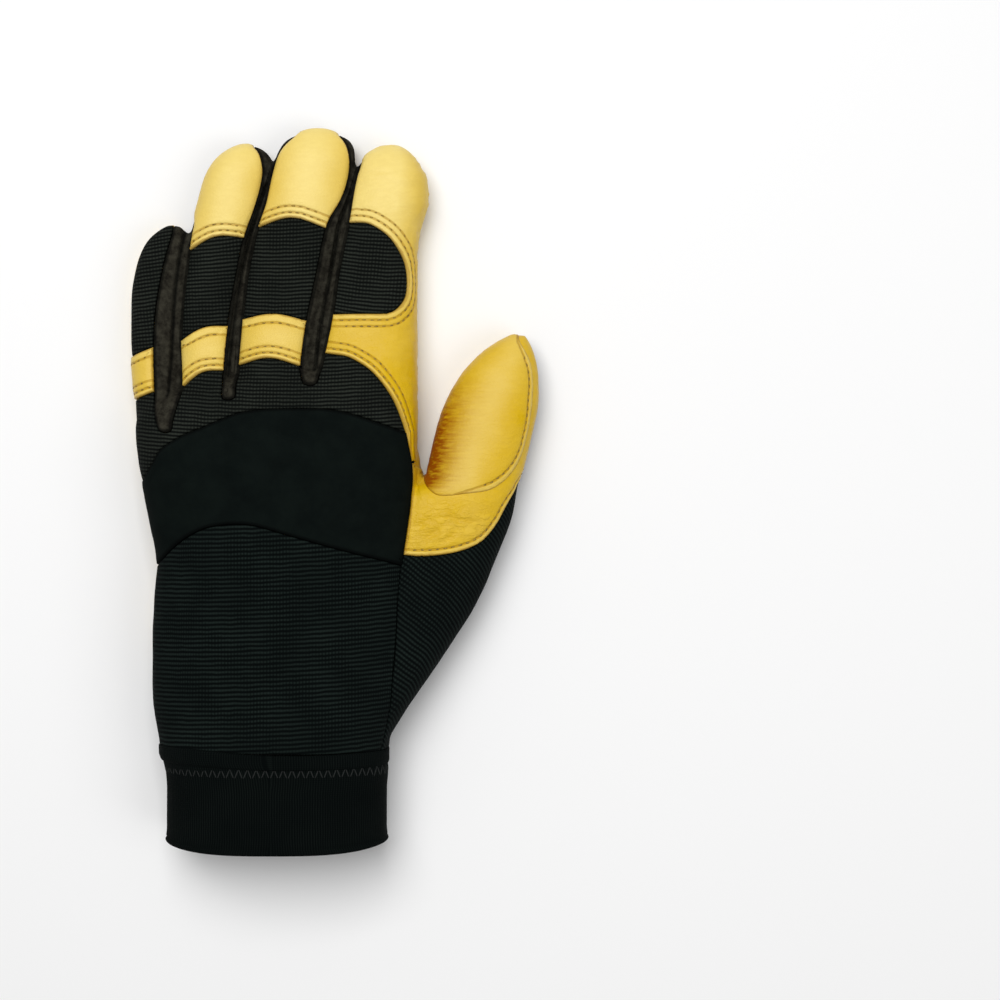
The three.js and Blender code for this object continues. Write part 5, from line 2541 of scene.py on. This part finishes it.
def groove_shade(points: Array) -> Array:
    """Shade in the grooves of the strips between the fingers."""
    away = np.minimum.reduce([away_from(curved(line, 4), points) for line in STRIP_GROOVES.values()])
    return np.c_[0.85 * bell(away, 0.55), 0 * away, 0 * away]


def leather(name: str, probe: Point, lift: float = 0.8, **settings: object) -> Panel:
    """A leather panel on the back with a rolled edge and furrows under its thread."""
    chosen = {"side": Side.BACK, "roll": 0.55, "fine": EVERYWHERE, "ripple": 0.12, **settings}
    return Panel(name, probe, slot=Slot.LEATHER, lift=lift, dips=furrows(name), **chosen)


def cloth(name: str, probe: Point, slot: Slot, **settings: object) -> Panel:
    """A cloth panel on the back."""
    return Panel(name, probe, Side.BACK, slot, **settings)


def finger_knit(name: str, probe: Point, weave: Callable[[Array], Array]) -> Panel:
    """A panel of the fingers' ribbed knit."""
    return cloth(name, probe, Slot.FINGER_KNIT, weave=weave)


def strip(name: str, probe: Point, depth: float = 1.3) -> Panel:
    """A soft strip between two fingers with a groove along it.

    Args:
        name: The strip's name.
        probe: A point in plan that only this strip covers.
        depth: Depth of the groove.

    Returns:
        The panel.
    """
    groove = (Crease(STRIP_GROOVES[name], depth, 0.6, 1.0),)
    shape = {"lift": 0.1, "ripple": 0.3, "fine": EVERYWHERE, "creases": groove, "dye": groove_shade}
    return cloth(name, probe, Slot.MICROSUEDE, **shape)


PANELS = (
    leather(
        "palm_leather", (-20, -20), 0.5, side=Side.PALM, fine=2.5, ripple=0.4, wrinkle=0.3, bed=0.4,
        creases=PALM_FOLDS, dye=palm_leather_highlight, under=("wrap_seam",), tapered=("pad_right",),
    ),
    leather(
        "web_leather", (42, -14), 0.6, ripple=0.35, wrinkle=0.32, creases=WEB_FOLDS,
        dye=highlight_along(0.12, [(30, -18), (40, -14), (50, -14)], 9.0, 1.6),
        under=("lens_turn", "lens_seam", "lens_tip", "crotch"),
    ),
    leather(
        "thumb_leather", (50, 20), 0.7, fine=3.5, ripple=0.2, wrinkle=0.1, dye=thumb_brown_and_highlight,
        tapered=("lens_turn", "lens_tip"),
    ),
    leather("fingertip_cap_middle", (-9, 106), dye=highlight_along(1.0, [(-11, 84), (-7, 124)])),
    leather("fingertip_cap_ring", (-36, 100), dye=highlight_along(0.95, [(-39, 84), (-34, 116)])),
    leather("knuckle_strap_middle", (-20, 50), crown=0.3, dye=highlight_along(0.55, [(-32, 49), (-10, 49)], 7.0)),
    leather("knuckle_strap_ring", (-45, 46), crown=0.3, dye=highlight_along(0.6, [(-52, 43), (-38, 46)], 7.0)),
    leather("knuckle_strap_little", (-66, 38), crown=0.2, dye=highlight_along(0.4, [(-70, 37), (-62, 38)], 7.0)),
    finger_knit("finger_knit_index", (14, 75), along_finger(5, 12)),
    finger_knit("finger_knit_middle", (-18, 75), along_finger(1, -20)),
    finger_knit("finger_knit_ring", (-43, 70), along_finger(-3, -44)),
    finger_knit("finger_knit_little", (-66, 65), along_finger(-6, -66)),
    strip("fourchette_middle_index", (-8, 37)),
    strip("fourchette_ring_middle", (-35, 32)),
    strip("fourchette_little_ring", (-58, 45), 0.4),
    finger_knit("knuckle_knit", (-20, 33), over_knuckles),
    cloth("knuckle_pad", (-20, 5), Slot.NEOPRENE, lift=0.6, roll=0.6, crown=0.9, fine=3.0),
    cloth("back_knit", (-20, -50), Slot.HAND_KNIT, weave=across_hand, ripple=0.35),
    cloth("side_knit", (40, -45), Slot.HAND_KNIT, weave=on_the_slant, ripple=0.25),
    Panel("wrist_gusset", (-56, -84), Side.PALM, Slot.NEOPRENE),
)


# The scene round the glove


@dataclass
class Studio:
    """Floor, soft light and a camera straight above, as in the photograph.

    Attributes:
        camera_at: The camera's place.
        sensor: Width of its sensor.
        lens: Its focal length.
        floor_size: Side of the floor.
        glow: Strength of the light from all round.
        lights: The name, place, size and power in watts of each soft square light.
    """

    camera_at: tuple[float, float, float] = (57.55, -5.8, 700.0)
    sensor: float = 36.0
    lens: float = 70.96
    floor_size: float = 6000.0
    glow: float = 0.26
    lights: tuple[tuple, ...] = (
        ("key", (-150, 430, 1100), 850, 12.3),
        ("fill", (700, -300, 900), 700, 2.6),
    )

    def build(self) -> None:
        """Set up the floor, the camera and the lights."""
        deselect_all()
        bpy.ops.mesh.primitive_plane_add(size=self.floor_size * MM)
        floor = named("floor")
        floor.data.materials.append(FloorFinish("pale_floor", 0.9, 0.1).build())
        bpy.ops.object.camera_add(location=tuple(c * MM for c in self.camera_at), rotation=(0, 0, 0))
        camera = bpy.context.object
        camera.data.sensor_width = self.sensor
        camera.data.lens = self.lens
        bpy.context.scene.camera = camera
        for light in self.lights:
            self.hang(*light)
        world = bpy.data.worlds.new("studio")
        bpy.context.scene.world = world
        world.use_nodes = True
        background = world.node_tree.nodes["Background"]
        background.inputs["Color"].default_value = (1, 1, 1, 1)
        background.inputs["Strength"].default_value = self.glow
        bpy.context.scene.view_settings.view_transform = "Standard"

    @staticmethod
    def hang(name: str, at: tuple[float, float, float], size: float, power: float) -> None:
        """Hang a soft square light that faces the glove.

        Args:
            name: Its name.
            at: Its place.
            size: Its side.
            power: Its power in watts.
        """
        x, y, z = at
        turn = (math.atan2(math.hypot(x, y), z), 0, math.atan2(x, -y))
        bpy.ops.object.light_add(type="AREA", location=(x * MM, y * MM, z * MM), rotation=turn)
        light = bpy.context.object
        light.name = name
        light.data.size = size * MM
        light.data.energy = power


def dress(piece: Thing, slot: Slot, material: bpy.types.Material, *replaced: str) -> None:
    """Give a piece its material and tie it to the frame.

    Args:
        piece: The piece.
        slot: The record's material slot; not used.
        material: Its material.
        replaced: The solids that it stands for.
    """
    piece.data.materials.clear()
    piece.data.materials.append(material)
    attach(piece, BODY)
    if replaced:
        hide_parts(*replaced)
    LOG.info("%s: %d triangles", piece.name, sum(len(face.vertices) - 2 for face in piece.data.polygons))


def main() -> None:
    """Build the glove round its frame, dress it and set up the studio."""
    logging.basicConfig(level=logging.INFO, format="%(message)s")
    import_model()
    effects = Effects()
    seams = all_seams()
    patches = SeamCutter(seams).part(HandForm().build())
    panels = {panel.name: panel for panel in PANELS}
    materials = {slot: finish.build(effects) for slot, finish in FINISHES.items()}
    made: dict[str, Thing] = {}
    for panel in PANELS:
        claimed = [patch for patch in patches if panel.claims(patch)]
        if len(claimed) != 1:
            raise ValueError(f"{panel.name} claims {len(claimed)} patches of skin")
        patches.remove(claimed[0])
        made[panel.name] = panel.build(claimed[0], seams)
        dress(made[panel.name], panel.slot, materials[panel.slot], panel.name)
    for patch in patches:
        bpy.data.objects.remove(patch)
    cuff, tab = Cuff(), Tab()
    for name, part, slot in (("cuff_band", cuff, Slot.ELASTIC), ("wrist_tab", tab, Slot.SYNTHETIC)):
        made[name] = part.build()
        dress(made[name], slot, materials[slot], name)
    gold = ThreadFinish("gold_thread", 0.6).build()
    black = ThreadFinish("black_thread", 0.9, colour=srgb(20, 25, 23), shade=srgb(9, 11, 11)).build()
    gold_rows = [(path, made[row.panel]) for row in GOLD_ROWS for path in row.paths(panels[row.panel])]
    zigzag = Stitching("black_stitches", length=3.9, width=0.45, height=0.3, slant=68.0)
    for stitching, rows, slot, thread in (
        (Stitching("gold_stitches"), gold_rows, Slot.LEATHER, gold),
        (zigzag, [(cuff.row(), made["cuff_band"])], Slot.ELASTIC, black),
        (Stitching("tab_stitches"), [(tab.row(), made["wrist_tab"])], Slot.SYNTHETIC, black),
    ):
        dress(stitching.build(rows), slot, thread)
    Studio().build()


if __name__ == "__main__":
    main()
